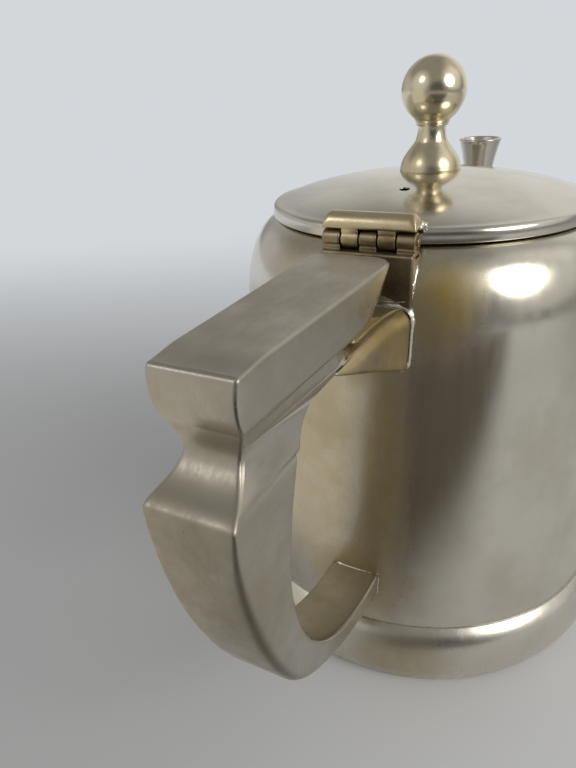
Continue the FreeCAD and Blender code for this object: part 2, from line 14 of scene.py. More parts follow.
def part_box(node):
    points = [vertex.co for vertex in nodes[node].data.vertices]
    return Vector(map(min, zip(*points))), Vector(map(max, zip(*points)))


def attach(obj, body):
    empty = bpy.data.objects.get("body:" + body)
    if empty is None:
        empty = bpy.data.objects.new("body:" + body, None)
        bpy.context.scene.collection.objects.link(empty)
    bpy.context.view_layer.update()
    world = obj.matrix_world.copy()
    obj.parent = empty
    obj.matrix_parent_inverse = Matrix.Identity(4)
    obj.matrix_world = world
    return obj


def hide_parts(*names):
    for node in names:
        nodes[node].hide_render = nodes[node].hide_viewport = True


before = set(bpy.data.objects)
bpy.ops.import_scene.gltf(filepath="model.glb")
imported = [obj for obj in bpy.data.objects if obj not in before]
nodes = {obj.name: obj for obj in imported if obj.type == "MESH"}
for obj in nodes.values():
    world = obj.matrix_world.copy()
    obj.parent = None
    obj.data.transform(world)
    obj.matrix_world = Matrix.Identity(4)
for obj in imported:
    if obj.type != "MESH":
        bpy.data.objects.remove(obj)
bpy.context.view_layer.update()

bl_info = {
    "name": "Silver teapot",
    "version": (1, 0, 0),
    "blender": (4, 5, 0),
    "location": "View3D > Sidebar > Teapot",
    "description": "Dresses the packed teapot and sets its stage",
    "category": "Object",
}

MILLIMETRE = 0.001
QUARTER = 0.5 * math.pi

# Pot and lid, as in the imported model: (radius, height) pairs, radii and heights.
LOW_RADIUS = 49.6
FOOT_HEIGHT = 17.9
SHOULDER = (45.2, 92.3)
MOUTH = (36.0, 107.4)
LID_RADIUS = 38.0
RIM_LOW = 107.35
RIM_HIGH = 109.9
RIM_SLOPE = 0.1
LID_TOP = 116.2
VENT_PLACE = 19.5
VENT_RADIUS = 1.1

# Hinge: the pin's line, half its width, its knuckles, and the leaf's roll, step and back edge along X.
HINGE_X = -40.7
HINGE_Z = 108.7
HINGE_HALF = 9.4
KNUCKLES = 5
KNUCKLE_GAP = 0.15
KNUCKLE_RADIUS = 1.8
ROLL_X = -39.9
ROLL_LOW = 110.85
ROLL_RADIUS = 2.4
LEAF_STEP = -37.4
LEAF_BACK = -33.6

# Handle and neck: heights, half widths and places along X. The notch and the ledge are under the arm.
ARM_TOP = 107.9
ARM_LOW = 99.3
ARM_END = -49.2
ARM_HALF = 8.1
NOTCH = 98.6
LEDGE = 96.2
RIB_END = -63.0
GRIP_TOP = 88.7
GRIP_BACK = -105.4
GRIP_MIDDLE = 68.0
GRIP_HALF = 7.0
LOWER_JOINT = 60.0
NECK_LOW = 84.0
NECK_BEND = 95.0
NECK_TOP = 93.8
NECK_CROWN = 96.6
NECK_HALF = 8.3

# Smallest rounding of an edge, so that the points of its arc stay apart.
LEAST_ROUND = 0.08


def bezier(a, b, c, d, count):
    """Points of the cubic curve from a to d pulled towards b and c, as an array with a row for each."""
    t = np.linspace(0.0, 1.0, count)[:, None]
    s = 1.0 - t
    a, b, c, d = (np.asarray(p, float) for p in (a, b, c, d))
    return s ** 3 * a + 3 * s * s * t * b + 3 * s * t * t * c + t ** 3 * d


# Outside of the pot's wall and of the lid's dome: radius and height.
WALL = np.vstack([
    bezier((LOW_RADIUS, FOOT_HEIGHT), (48.896, 44.684), (46.608, 79.652), SHOULDER, 60),
    bezier(SHOULDER, (44.188, 99.246), (41.888, 105.89), MOUTH, 60)[1:]])
DOME = bezier((LID_RADIUS, RIM_HIGH), (0.79 * LID_RADIUS, RIM_HIGH + 3.15),
              (0.42 * LID_RADIUS, RIM_HIGH + 6.111), (0.0, LID_TOP), 160)
# Back of the arm, of the waist and of the flare below it: height, place along X and half width.
WAIST = (94.6, -98.62, 4.5)
FLARE = (90.3, -103.2, 6.3)
BACK = np.vstack([
    bezier((ARM_TOP, -100.75, 6.75), (105.1, -101.6, 6.6), (102.4, -101.6, 6.5), (99.6, -100.15, 6.28), 24),
    bezier((99.1, -99.75, 5.98), (97.6, -99.4, 5.6), (96.1, -98.4, 4.7), WAIST, 16),
    bezier(WAIST, (93.2, -99.1, 4.5), (91.7, -100.3, 5.2), FLARE, 16)[1:],
    bezier(FLARE, (89.8, -104.3, 6.8), (89.2, -105.2, 7.0), (GRIP_TOP, GRIP_BACK, 7.2), 10)[1:]])


def circle(count):
    """Angles once round, without the last one, which is the first again."""
    return np.linspace(0.0, 2 * math.pi, count, endpoint=False)


def quarter(count):
    """Angles from nothing to a quarter turn, with both ends."""
    return np.linspace(0.0, QUARTER, count)


def part_way(value, start, end):
    """How far a value is on its way from start to end, held between nothing and one."""
    return np.clip((value - start) / (end - start), 0.0, 1.0)


def pairs(first, second):
    """Two lists of numbers side by side, as an array with a row for each pair."""
    return np.stack([first, second], axis=-1)


def places(x, y, z):
    """Points from their three coordinates, each spread over the whole grid."""
    return np.stack(np.broadcast_arrays(x, y, z), axis=-1)


def wall_radius(z):
    """Outside radius of the pot at a height, read from its outline."""
    return np.interp(z, WALL[:, 1], WALL[:, 0], left=LOW_RADIUS)


def dome_height(r):
    """Height of the lid's outside at a distance from its centre, read from its outline."""
    return np.interp(r, DOME[::-1, 0], DOME[::-1, 1])


def hugged(points):
    """Points, of which those inside the pot are moved straight out from its axis into its wall."""
    sink = 0.6
    radius = np.hypot(points[..., 0], points[..., 1])
    least = wall_radius(points[..., 2]) - sink
    scale = np.maximum(1.0, least / np.maximum(radius, 1e-6))
    out = points.copy()
    out[..., :2] *= scale[..., None]
    return out


def fillet_path(corners, radii):
    """An open path through square corners, each turned on an arc, with a point just before and after it."""
    support = 0.12
    most_run = 0.46
    corners = np.asarray(corners, float)
    path = [corners[:1]]
    t = quarter(5)[:, None]
    for before, corner, after, radius in zip(corners[:-2], corners[1:-1], corners[2:], radii):
        lengths = np.linalg.norm([before - corner, after - corner], axis=1)
        back = (before - corner) / lengths[0]
        ahead = (after - corner) / lengths[1]
        run = min(radius, most_run * lengths.min())
        arc = corner + run * (back * (1 - np.sin(t)) + ahead * (1 - np.cos(t)))
        path += [corner + back * (run + support), arc, corner + ahead * (run + support)]
    path.append(corners[-1:])
    return np.vstack(path)


def grid_faces(rows, columns, wrap):
    """Corner numbers of the quads between the rows of a grid, each row closed on itself.

    When wrap is true, the last row joins the first.
    """
    r, c = np.meshgrid(np.arange(rows if wrap else rows - 1), np.arange(columns), indexing="ij")
    below = (r + 1) % rows
    right = (c + 1) % columns
    quads = [r * columns + c, r * columns + right, below * columns + right, below * columns + c]
    return np.stack(quads, axis=-1).reshape(-1, 4)


def clean_mesh(name, surfaces, material):
    """One smooth mesh from surfaces, each (points in millimetres, quads).

    Doubled points at seams and poles are merged, faces without area dropped and normals turned outwards.
    """
    points = [np.asarray(surface[0], float).reshape(-1, 3) for surface in surfaces]
    starts = np.cumsum([0] + [len(p) for p in points])
    quads = [np.asarray(surface[1]) + start for surface, start in zip(surfaces, starts)]
    mesh = bpy.data.meshes.new(name)
    mesh.from_pydata((np.vstack(points) * MILLIMETRE).tolist(), [], np.vstack(quads).tolist())
    work = bmesh.new()
    work.from_mesh(mesh)
    bmesh.ops.remove_doubles(work, verts=work.verts, dist=2e-6)
    bmesh.ops.dissolve_degenerate(work, dist=1e-6, edges=work.edges)
    bmesh.ops.recalc_face_normals(work, faces=work.faces)
    work.to_mesh(mesh)
    work.free()
    mesh.polygons.foreach_set("use_smooth", np.ones(len(mesh.polygons), bool))
    mesh.update()
    mesh.materials.append(material)
    return mesh


def put_object(name, data):
    """A new object of the scene, at the origin."""
    made = bpy.data.objects.new(name, data)
    bpy.context.scene.collection.objects.link(made)
    return made


def put_piece(name, surfaces, metal, body, slot, *stands_for):
    """Makes one object from surfaces, ties it to its body and hides the CAD nodes it stands for; its slot is
    not used.
    """
    piece = put_object(name, clean_mesh(name, surfaces, bpy.data.materials[metal]))
    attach(piece, body)
    if stands_for:
        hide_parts(*stands_for)


def turned(profile, segments, wrap):
    """A profile of (radius, height) pairs carried once round the Z axis; wrap closes it on itself."""
    radius, height = np.hsplit(np.asarray(profile, float), 2)
    angle = circle(segments)
    points = places(radius * np.cos(angle), radius * np.sin(angle), height)
    return points, grid_faces(len(points), segments, wrap)


def banded(row, columns):
    """Caps one end of a symmetric ring of points: quads between each point and its mirror across the ring."""
    near = np.arange(columns // 2 - 1)
    return row * columns + np.stack([near, near + 1, columns - 2 - near, columns - 1 - near], axis=-1)


def ring_rows(outer, inner, outer_half, inner_half, corner, end_depth, end_width):
    """Closed rings across a bar: one ring for each pair of points on its outer and inner side lines.

    A ring starts at the middle of the outer side, turns the outer corner on a small arc, runs along the flank
    and closes over the inner end on an elliptic arc of the given depth and width. The left half mirrors it.
    """
    run = inner - outer
    length = np.linalg.norm(run, axis=1)[:, None]
    along = run / length
    outer_half, inner_half, corner, end_depth, end_width = (
        v[:, None] for v in (outer_half, inner_half, corner, end_depth, end_width))
    arc = quarter(7)[None]
    share = np.linspace(0.0, 1.0, 6)[None]
    flank = np.linspace(0.0, 1.0, 46)[None]

    def half_at(a):
        return outer_half + (inner_half - outer_half) * a / length

    # The flank keeps a little clear of both arcs, so that their ends stay smooth.
    side_from = corner * 1.25
    side_to = length - end_depth * 1.02
    side = side_from + (side_to - side_from) * flank
    end_half = half_at(length - end_depth)
    a = np.concatenate([
        0.0 * share[:, :-1] + 0.0 * corner,
        corner * (1 - np.cos(arc)),
        side,
        length - end_depth + end_depth * np.sin(arc),
        length + 0.0 * share[:, 1:]], axis=1)
    b = np.concatenate([
        share[:, :-1] * (outer_half - corner),
        outer_half - corner + corner * np.sin(arc),
        half_at(side),
        end_half - end_width + end_width * np.cos(arc),
        (end_half - end_width) * (1 - share[:, 1:])], axis=1)
    x = outer[:, :1] + along[:, :1] * a
    z = outer[:, 1:] + along[:, 1:] * a
    return np.concatenate([places(x, -b, z), places(x, b, z)[:, ::-1]], axis=1)


def closed_bar(points):
    """The skin of a bar given as rings: the quads between the rings and a cap on either end."""
    rows, columns = points.shape[:2]
    quads = [grid_faces(rows, columns, False), banded(0, columns), banded(rows - 1, columns)]
    return points, np.vstack(quads)


def smoothed(values, passes, keep):
    """Each row replaced by a weighted mean of itself and its neighbours, a few times; the first rows stay."""
    values = values.copy()
    for _ in range(passes):
        middle = 0.25 * values[:-2] + 0.5 * values[1:-1] + 0.25 * values[2:]
        values[keep:-1] = middle[keep - 1:]
    return values


def spread_along(curve, count, first_step):
    """Points spread along a curve with steps that grow evenly from first_step times the mean step."""
    lengths = np.concatenate([[0.0], np.cumsum(np.linalg.norm(np.diff(curve, axis=0), axis=1))])
    share = np.linspace(0.0, 1.0, count)
    wanted = (first_step * share + (1 - first_step) * share ** 2) * lengths[-1]
    return pairs(np.interp(wanted, lengths, curve[:, 0]), np.interp(wanted, lengths, curve[:, 1]))


def grip_half(z):
    """Half width of the grip at a height: a little more at its top, and falling evenly below its middle."""
    spread_from = 82.0
    narrowing = 1.5 / 48.5
    upper = GRIP_HALF + 0.2 * part_way(z, spread_from, GRIP_TOP)
    lower = GRIP_HALF - narrowing * (GRIP_MIDDLE - z)
    return np.where(z > GRIP_MIDDLE, upper, lower)


def grip_lines(count):
    """Back and inner side of the grip down to the lower joint, each two cubic curves in X and height."""
    outer_bend = (-91.7, 46.0)
    inner_bend = (-91.6, GRIP_MIDDLE)
    outer = np.vstack([
        bezier((GRIP_BACK, GRIP_TOP), (-106.0, 75.89), (-99.92, 57.956), outer_bend, 80),
        bezier(outer_bend, (-85.205, 36.64), (-67.019, 29.425), (-48.4, 26.5), 80)[1:]])
    inner = np.vstack([
        bezier((-88.3, GRIP_TOP), (-89.5, 82.904), (-91.9, 75.038), inner_bend, 60),
        bezier(inner_bend, (-88.576, 45.088), (-71.296, 32.916), (-48.4, 32.2), 100)[1:]])
    return [spread_along(line, count, 0.25)[1:] for line in (outer, inner)]


def loop_line(z, corner_x):
    """Top of the finger loop along X: a round corner about corner_x, and below it a slope of 45 degrees."""
    middle = 90.0
    radius = 6.2
    above = np.maximum(z - middle, 0.0)
    below = np.maximum(middle - z, 0.0)
    return corner_x - np.sqrt(np.maximum(radius ** 2 - above ** 2, 0.0)) - below


def handle_surface(edge_round):
    """The hollow handle as rings from the arm's top down through the waist and the grip to the lower joint.

    The back of the arm and of the waist, and its half width, are read from BACK between its heights. The
    arm's inner end, its nose, draws back below on an elliptic arc. The rib under the arm is narrow, and the
    ledge below it runs back to the finger loop. A fine groove, a bell curve of the height, narrows the inner
    side just above the grip. The nose, the arm's top and the rib close on end arcs, each a depth and a width.
    Rows are averaged with their neighbours so that no edge is sharp, and the arm's top sinks a little towards
    its back edge.
    """
    nose_height = 5.0
    nose_depth = 3.2
    rib_half = 6.1
    ledge_half = 7.1
    flare_half = 7.2
    loop_corner = -80.8
    groove_height = 89.7
    groove_reach = 0.45
    groove_depth = 0.6
    end_round = 0.7
    nose_end = (14.0, 7.6)
    top_end = (4.0, 4.0)
    rib_end = (9.0, 5.6)
    back_sag = 0.45
    sag_from = -94.2
    sag_full = -100.7
    sag_low = 103.0
    turn = quarter(7)[::-1]
    inset = np.concatenate([[edge_round + 0.3], edge_round * (1 - np.cos(turn))])
    top_z = ARM_TOP - edge_round * (1 - np.sin(np.concatenate([turn[:1], turn])))
    arm_z = np.linspace(ARM_TOP - edge_round, ARM_LOW, 30)[1:]
    rib_z = np.linspace(ARM_LOW, LEDGE, 22)[1:]
    ledge_z = np.full(8, LEDGE)
    flare_z = np.linspace(LEDGE, GRIP_TOP, 48)[1:]
    upper_z = np.concatenate([top_z, arm_z, rib_z, ledge_z, flare_z])
    edge_rows = len(inset)
    arm_rows = edge_rows + len(arm_z)
    rib_rows = slice(arm_rows, arm_rows + len(rib_z))

    back_x, back_half = (np.interp(upper_z, BACK[::-1, 0], BACK[::-1, column]) for column in (1, 2))
    back_x[:edge_rows] += inset
    back_half[:edge_rows] -= inset
    nose = part_way(arm_z, ARM_LOW + nose_height, ARM_LOW)
    inner_x = np.concatenate([
        ARM_END - inset,
        ARM_END - nose_depth * (1 - np.sqrt(1 - nose ** 2)),
        np.full(len(rib_z), RIB_END),
        np.linspace(RIB_END, loop_corner, len(ledge_z)),
        loop_line(flare_z, loop_corner)])
    grip_outer, grip_inner = grip_lines(110)
    outer = np.vstack([pairs(back_x, upper_z), grip_outer])
    inner = np.vstack([pairs(inner_x, upper_z), grip_inner])

    rows = len(outer)
    outer_half = np.concatenate([back_half, grip_half(grip_outer[:, 1])])
    inner_half = np.concatenate([
        ARM_HALF - inset,
        np.full(len(arm_z), ARM_HALF),
        rib_half + 1.6 * part_way(rib_z, NOTCH, ARM_LOW) ** 1.5 + 0.9 * part_way(rib_z, NOTCH, LEDGE),
        np.full(len(ledge_z), ledge_half),
        flare_half - groove_depth * np.exp(-((flare_z - groove_height) / groove_reach) ** 2),
        grip_half(grip_inner[:, 1])])
    corner = np.full(rows, edge_round)
    corner[:edge_rows] = np.maximum(edge_round - inset, LEAST_ROUND)
    corner[-len(grip_outer):] += 1.2 * np.sin(np.linspace(0.0, math.pi, len(grip_outer))) ** 1.5
    ends = np.full((rows, 2), end_round)
    arm_share = part_way(outer[:arm_rows, 1:], ARM_LOW, ARM_TOP - edge_round)
    ends[:arm_rows] = nose_end + np.subtract(top_end, nose_end) * arm_share
    ends[:edge_rows, 1] -= 0.5 * inset
    ends[rib_rows] = rib_end

    table = np.column_stack([outer, inner, outer_half, inner_half, corner, ends])
    table = smoothed(table, 3, edge_rows)
    points = ring_rows(table[:, 0:2], table[:, 2:4], *table[:, 4:].T)
    fall = part_way(points[..., 0], sag_from, sag_full)
    fall = fall * fall * (3 - 2 * fall)
    points[..., 2] -= back_sag * fall * part_way(points[..., 2], sag_low, ARM_TOP)
    points = np.where(points[..., 2:] < LOWER_JOINT, hugged(points), points)
    return closed_bar(points)


def neck_surface(edge_round):
    """The cast neck as level rings: its lower side rises on two straight runs from the wall to the arm's rib.

    Its top edge turns on an arc. Its sides spread towards the wall with the square of the way there.
    """
    step = 0.01
    turn = quarter(9)[1:]
    fillet = NECK_CROWN - NECK_TOP
    low_z = np.linspace(NECK_LOW, NECK_TOP, 30)
    high_z = np.linspace(NECK_CROWN, ARM_LOW, 12)[1:]
    z = np.concatenate([low_z, NECK_TOP + fillet * np.sin(turn), high_z])
    inset = np.concatenate([np.zeros(len(low_z)), fillet * (1 - np.cos(turn)), np.full(len(high_z), fillet)])
    outer_x = np.interp(z, [NECK_LOW, NECK_BEND, LEDGE, LEDGE + step], [-46.2, -73.0, -75.0, RIB_END])
    inner_x = np.interp(z, [NECK_CROWN, NECK_CROWN + step, ARM_LOW], [-34.0, -49.0, -58.0])
    corner = np.interp(z, [NECK_BEND, LEDGE, ARM_LOW], [3.2, 1.0, 0.8])
    half = NECK_HALF - inset
    soft = np.full(len(z), edge_round)
    points = ring_rows(pairs(outer_x, z), pairs(inner_x, z), half, half, corner, soft, soft)
    points[..., 1] *= 1 + 0.17 * part_way(points[..., 0], -57.0, -46.0) ** 2
    return closed_bar(hugged(points))


def solder_surface(middle, half_width, half_height, size, wobble):
    """A bead of solder on the pot's wall round a rectangular joint with rounded corners.

    Its path is a power curve of the joint's half width and half height. Across the path runs a hollow quarter
    arc from the wall up to the joint, closed by a point inside both. Sines along the path make it uneven.
    """
    t = circle(160)
    y, z = (np.sign(wave) * np.abs(wave) ** (2.0 / 7.0) for wave in (np.cos(t), np.sin(t)))
    y = half_width * y
    z = middle + half_height * z
    out = pairs(np.gradient(z), -np.gradient(y))
    out = out / np.linalg.norm(out, axis=1)[:, None]
    waves = 0.5 * np.sin(5 * t + 1.0) + 0.3 * np.sin(11 * t) + 0.2 * np.sin(23 * t + 2.0)
    bead = size * (1 + wobble * waves)[:, None]
    arc = quarter(7)
    across = bead * np.concatenate([1.0 - np.sin(arc), [-0.4]])
    rise = bead * np.concatenate([1.0 - np.cos(arc), [-0.3]])
    y = y[:, None] + out[:, :1] * across
    z = z[:, None] + out[:, 1:] * across
    radius = wall_radius(z) + rise - 0.05
    points = places(-np.sqrt(radius ** 2 - y ** 2), y, z)
    return points, grid_faces(*across.shape, True)


def bead_surface(place, size):
    """A drop of solder: a ball drawn out along the axes."""
    rise = np.linspace(-QUARTER, QUARTER, 13)[:, None]
    angle = circle(20)
    ball = places(np.cos(rise) * np.cos(angle), np.cos(rise) * np.sin(angle), np.sin(rise))
    return np.asarray(place) + ball * np.asarray(size), grid_faces(13, 20, False)


def foot_surface():
    """The foot moulding: a half-round belly of two cubic curves, turned round the axis."""
    belly = (52.85, 10.2)
    edge = [(49.1, 17.7), (49.4, 17.86), (LOW_RADIUS, FOOT_HEIGHT)]
    upper = bezier((49.75, 17.86), (51.4, 16.4), (52.85, 14.6), belly, 34)
    lower = bezier(belly, (52.85, 6.0), (51.7, 2.3), (49.7, 0.12), 26)[1:]
    base = [(49.4, 0.02), (48.9, 0.0), (46.6, 0.0), (46.45, 0.06), (46.4, 0.2), (46.4, 2.0), (49.1, 2.0)]
    return turned(np.vstack([edge, upper, lower, base]), 192, True)


def lid_surface(edge_round):
    """The lid: circles that go over from the edge of its steam vent to its own edge, lifted onto the dome.

    The circles are those of the map (w + a) / (1 + a w), which takes rings about the centre to rings about
    the vent. From the dome they go on over the edge, down the upright rim and back inside to the vent.
    """
    columns = 200
    low_round = 0.35
    inside = 36.7
    under_reach = 36.4
    thickness = 1.0
    reach = LID_RADIUS - edge_round - RIM_SLOPE
    low = (-VENT_PLACE - VENT_RADIUS) / reach
    high = (-VENT_PLACE + VENT_RADIUS) / reach
    total = low + high
    product = 1 + low * high
    a = (product - math.sqrt(product ** 2 - total ** 2)) / total
    first = abs((high - a) / (1 - a * high))
    w = first ** np.linspace(1.0, 0.0, 60)[:, None] * np.exp(1j * circle(columns))
    plan = reach * (w + a) / (1 + a * w)
    top = places(plan.real, plan.imag, dome_height(np.abs(plan)))
    turn = quarter(6)[1:]
    start = dome_height(reach)
    rim = np.vstack([
        pairs(reach + edge_round * np.sin(turn), start - edge_round * (1 - np.cos(turn))),
        [(reach + edge_round + 0.02, start - edge_round - 0.1), (LID_RADIUS, RIM_LOW + low_round)],
        pairs(LID_RADIUS - low_round * (1 - np.cos(turn)), RIM_LOW + low_round * (1 - np.sin(turn))),
        [(inside + 0.05, RIM_LOW), (inside, RIM_LOW + 0.05), (inside, dome_height(inside) - 1.4)]])
    edge = plan[-1] / reach
    side = places(rim[:, :1] * edge.real, rim[:, :1] * edge.imag, rim[:, 1:])
    under = top[::-1].copy()
    radius = np.hypot(under[..., 0], under[..., 1])
    under[..., :2] *= np.minimum(1.0, under_reach / np.maximum(radius, 1e-6))[..., None]
    under[..., 2] = dome_height(np.hypot(under[..., 0], under[..., 1])) - thickness
    lip = top[:1] - np.array([0.0, 0.0, 0.1])
    points = np.concatenate([lip, top, side, under[1:]], axis=0)
    return points, grid_faces(len(points), columns, True)


def finial_surface():
    """The finial's base: a convex bell, a crease, a neck that draws in to a waist, and a cup for the ball."""
    waist = (3.2, 9.1)
    foot = [(1.5, -0.6), (7.0, -0.6), (7.1, -0.3), (7.12, 0.0), (7.08, 0.25)]
    bell = bezier((7.02, 0.45), (6.62, 2.9), (4.97, 4.5), (3.85, 6.0), 34)
    neck = bezier((3.72, 6.25), (3.45, 7.0), (3.2, 7.9), waist, 20)
    cup = bezier(waist, (3.2, 9.8), (3.45, 10.5), (3.6, 10.8), 12)[1:]
    top = [(3.55, 10.86), (3.4, 10.9), (1.5, 10.9)]
    return turned(np.vstack([foot, bell, neck, cup, top]) + np.array([0.0, LID_TOP]), 128, True)


def knob_surface():
    """The finial's ball: a turned circle that goes over below into a cubic skirt, down onto the neck."""
    neck_radius = 3.75
    low, high = (np.array(corner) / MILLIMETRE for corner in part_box("finial_ball"))
    radius = 0.5 * (high[0] - low[0])
    middle = high[2] - radius
    angle = np.linspace(QUARTER, -0.46 * QUARTER, 60)
    ball = pairs(radius * np.cos(angle), middle + radius * np.sin(angle))
    ball[0, 0] = 0.0
    leave = ball[-1]
    down = np.array([math.sin(angle[-1]), -math.cos(angle[-1])])
    reach = (leave[0] - neck_radius) / -down[0]
    end = leave + down * reach
    skirt = bezier(leave, leave + down * 0.45 * reach, end + (0.15, 0.9), end + (-0.05, -0.6), 16)[1:]
    inside = [(3.3, end[1] - 0.7), (0.0, end[1] - 0.7)]
    return turned(np.vstack([ball, skirt, inside]), 128, False)


def spout_surface():
    """The spout: circles along a cubic centre line, up the outside, over the round lip and down the channel.

    The outside narrows with a power of the sine of the way along, flares over the last seventh of it, and
    spreads a little where it meets the wall.
    """
    rows = 100
    columns = 96
    root_radius = 12.5
    narrowing = 8.3
    flaring = 2.2
    flare_from = 0.86
    lip_round = 0.5
    root_spread = 1.6
    line = bezier((41.0, 48.0), (59.5, 60.0), (57.0, 92.0), (57.0, 117.5), rows)
    share = np.linspace(0.0, 1.0, rows)
    radius = root_radius - narrowing * np.sin(QUARTER * np.minimum(share / flare_from, 1.0)) ** 0.85
    radius = radius + flaring * part_way(share, flare_from, 1.0) ** 1.5
    along = np.gradient(line, axis=0)
    along = along / np.linalg.norm(along, axis=1)[:, None]
    turn = np.linspace(-QUARTER, QUARTER, 9)
    lip = line[-1] - along[-1] * lip_round * (1 - np.cos(turn))[:, None]
    centre = np.vstack([line[:-1], lip[:1], lip, line[::-1][1:]])
    normal = np.vstack([along, np.repeat(along[-1:], len(turn), axis=0), along[::-1][1:]])
    lip_radius = radius[-1] - lip_round * (1 + np.sin(turn))
    size = np.concatenate([radius, lip_radius, radius[::-1][1:] - 2 * lip_round])[:, None]
    angle = circle(columns)
    across = places(-normal[:, 1:] * np.cos(angle), np.sin(angle), normal[:, :1] * np.cos(angle))
    middle = places(centre[:, :1], 0.0, centre[:, 1:])
    points = middle + across * size[..., None]
    gap = np.hypot(points[..., 0], points[..., 1]) - wall_radius(points[..., 2])
    spread = root_spread * np.exp(-np.maximum(gap, 0.0) / root_spread)
    spread[rows:] = 0.0
    points = middle + across * (size + spread)[..., None]
    return hugged(points), grid_faces(len(points), columns, True)


def barrel_surface(y0, y1, outside, bore):
    """One hinge knuckle: a ring with softened ends, turned about the pin's line."""
    columns = 56
    middle = 0.5 * (y0 + y1)
    corners = [(bore, middle), (bore, y0), (outside, y0), (outside, y1), (bore, y1), (bore, middle)]
    radius, y = np.hsplit(fillet_path(corners, [0.05, 0.28, 0.28, 0.05])[:-1], 2)
    angle = circle(columns)
    points = places(HINGE_X + radius * np.cos(angle), y, HINGE_Z + radius * np.sin(angle))
    return points, grid_faces(len(points), columns, True)


def block_surface(low, high, edge_round):
    """A box with rounded edges: the points of a ball, each pushed out to the corner on its side."""
    steps = 5
    low = np.asarray(low, float)
    high = np.asarray(high, float)
    arc = quarter(steps)
    angle = np.concatenate([arc + QUARTER * side for side in range(4)])
    rise = np.concatenate([arc - QUARTER, arc])[:, None]
    ball = places(np.cos(rise) * np.cos(angle), np.cos(rise) * np.sin(angle), np.sin(rise))
    signs = places(np.repeat([1.0, -1.0, -1.0, 1.0], steps), np.repeat([1.0, 1.0, -1.0, -1.0], steps),
                   np.repeat([-1.0, 1.0], steps)[:, None])
    points = 0.5 * (low + high) + signs * (0.5 * (high - low) - edge_round) + ball * edge_round
    rows, columns = points.shape[:2]
    cap = steps // 2 + steps * np.arange(4)[None]
    quads = np.vstack([grid_faces(rows, columns, False), cap, (rows - 1) * columns + cap])
    return points, quads


def bracket_surface(low, high, edge_round):
    """A box with rounded edges as level rings, its far side bent to lie inside the pot's wall."""
    turn = quarter(6)
    end_z = edge_round * (1 - np.cos(turn))
    end_inset = edge_round * (1 - np.sin(turn))
    middle = np.linspace(low[2] + edge_round, high[2] - edge_round, 26)[1:-1]
    z = np.concatenate([low[2] + end_z, middle, high[2] - end_z[::-1]])
    inset = np.concatenate([end_inset, np.zeros(len(middle)), end_inset[::-1]])
    half = high[1] - inset
    soft = np.maximum(edge_round - inset, LEAST_ROUND)
    outer = pairs(low[0] + inset, z)
    inner = pairs(np.full(len(z), high[0]), z)
    return closed_bar(hugged(ring_rows(outer, inner, half, half, soft, soft, soft)))


def end_cap(over, columns, row):
    """Quads that close one end of the leaf, between its upper line and its lower line."""
    under = columns - over
    upper = np.round(np.linspace(0, over - 1, under + 2)).astype(int)
    lower = np.concatenate([[0], columns - 1 - np.arange(under), [over - 1]])
    return row * columns + np.stack([upper[:-1], upper[1:], lower[1:], lower[:-1]], axis=-1)


def leaf_surface():
    """The hinge leaf: a roll over the knuckles that goes over into the lid, carried from side to side.

    Above the underside its height is the smooth maximum of a round roll and of the lid's dome. Both ends of
    the roll fall on an elliptic curve. Its closed outline runs over the top and back along the underside.
    """
    end_length = 1.5
    end_height = 0.35
    roll_rise = 1.22
    roll_slope = 1.1
    blend = 0.5
    share = np.linspace(-1.0, 1.0, 120)[:, None]
    y = HINGE_HALF * (0.3 * np.sin(QUARTER * share) + 0.7 * share)
    rise = np.sqrt(1 - part_way(np.abs(y), HINGE_HALF - end_length, HINGE_HALF) ** 2)

    def lid_at(x):
        return dome_height(np.minimum(np.hypot(x, y), LID_RADIUS))

    turn = np.linspace(math.pi, 0.6 * QUARTER, 40)
    roll_x = ROLL_X + ROLL_RADIUS * np.cos(turn)
    roll_z = roll_rise * ROLL_RADIUS * np.sin(turn)
    slope_x = np.linspace(roll_x[-1], LEAF_BACK, 34)[1:]
    slope_z = roll_z[-1] - roll_slope * (slope_x - roll_x[-1])
    over_x = np.concatenate([roll_x, slope_x])
    under_x = np.linspace(LEAF_BACK, ROLL_X - ROLL_RADIUS, 40)[1:-1]
    top = ROLL_LOW + np.concatenate([roll_z, slope_z]) * (end_height + (1 - end_height) * rise)
    lid = lid_at(over_x)
    cover = lid + 0.1 * part_way(over_x, LEAF_BACK, LEAF_BACK - 2.0)
    cover = np.where(over_x < LEAF_STEP, ROLL_LOW, cover)
    top = 0.5 * (top + cover + np.sqrt((top - cover) ** 2 + (blend * rise) ** 2))
    top[:, 0] = ROLL_LOW
    top[:, -1] = lid[:, -1] - 0.1
    low = np.where(under_x < LEAF_STEP, ROLL_LOW, lid_at(under_x) - 0.3)
    points = places(np.concatenate([over_x, under_x]), y, np.concatenate([top, low], axis=1))
    rows, columns = points.shape[:2]
    caps = [end_cap(len(over_x), columns, row) for row in (0, rows - 1)]
    return points, np.vstack([grid_faces(rows, columns, False)] + caps)


def feed(tree, socket, value):
    """Links an input to another node's output, or sets its own value."""
    if isinstance(value, bpy.types.NodeSocket):
        tree.links.new(value, socket)
    else:
        socket.default_value = value


def add_node(tree, kind, **values):
    """A new shader node with some of its settings and inputs given by name."""
    node = tree.nodes.new(kind)
    for key, value in values.items():
        if hasattr(node, key):
            setattr(node, key, value)
        else:
            feed(tree, node.inputs[key.replace("_", " ")], value)
    return node


def maths(tree, operation, first, second, clamp=False):
    """The output of a Math node over two numbers or sockets."""
    node = add_node(tree, "ShaderNodeMath", operation=operation, use_clamp=clamp)
    feed(tree, node.inputs[0], first)
    feed(tree, node.inputs[1], second)
    return node.outputs[0]


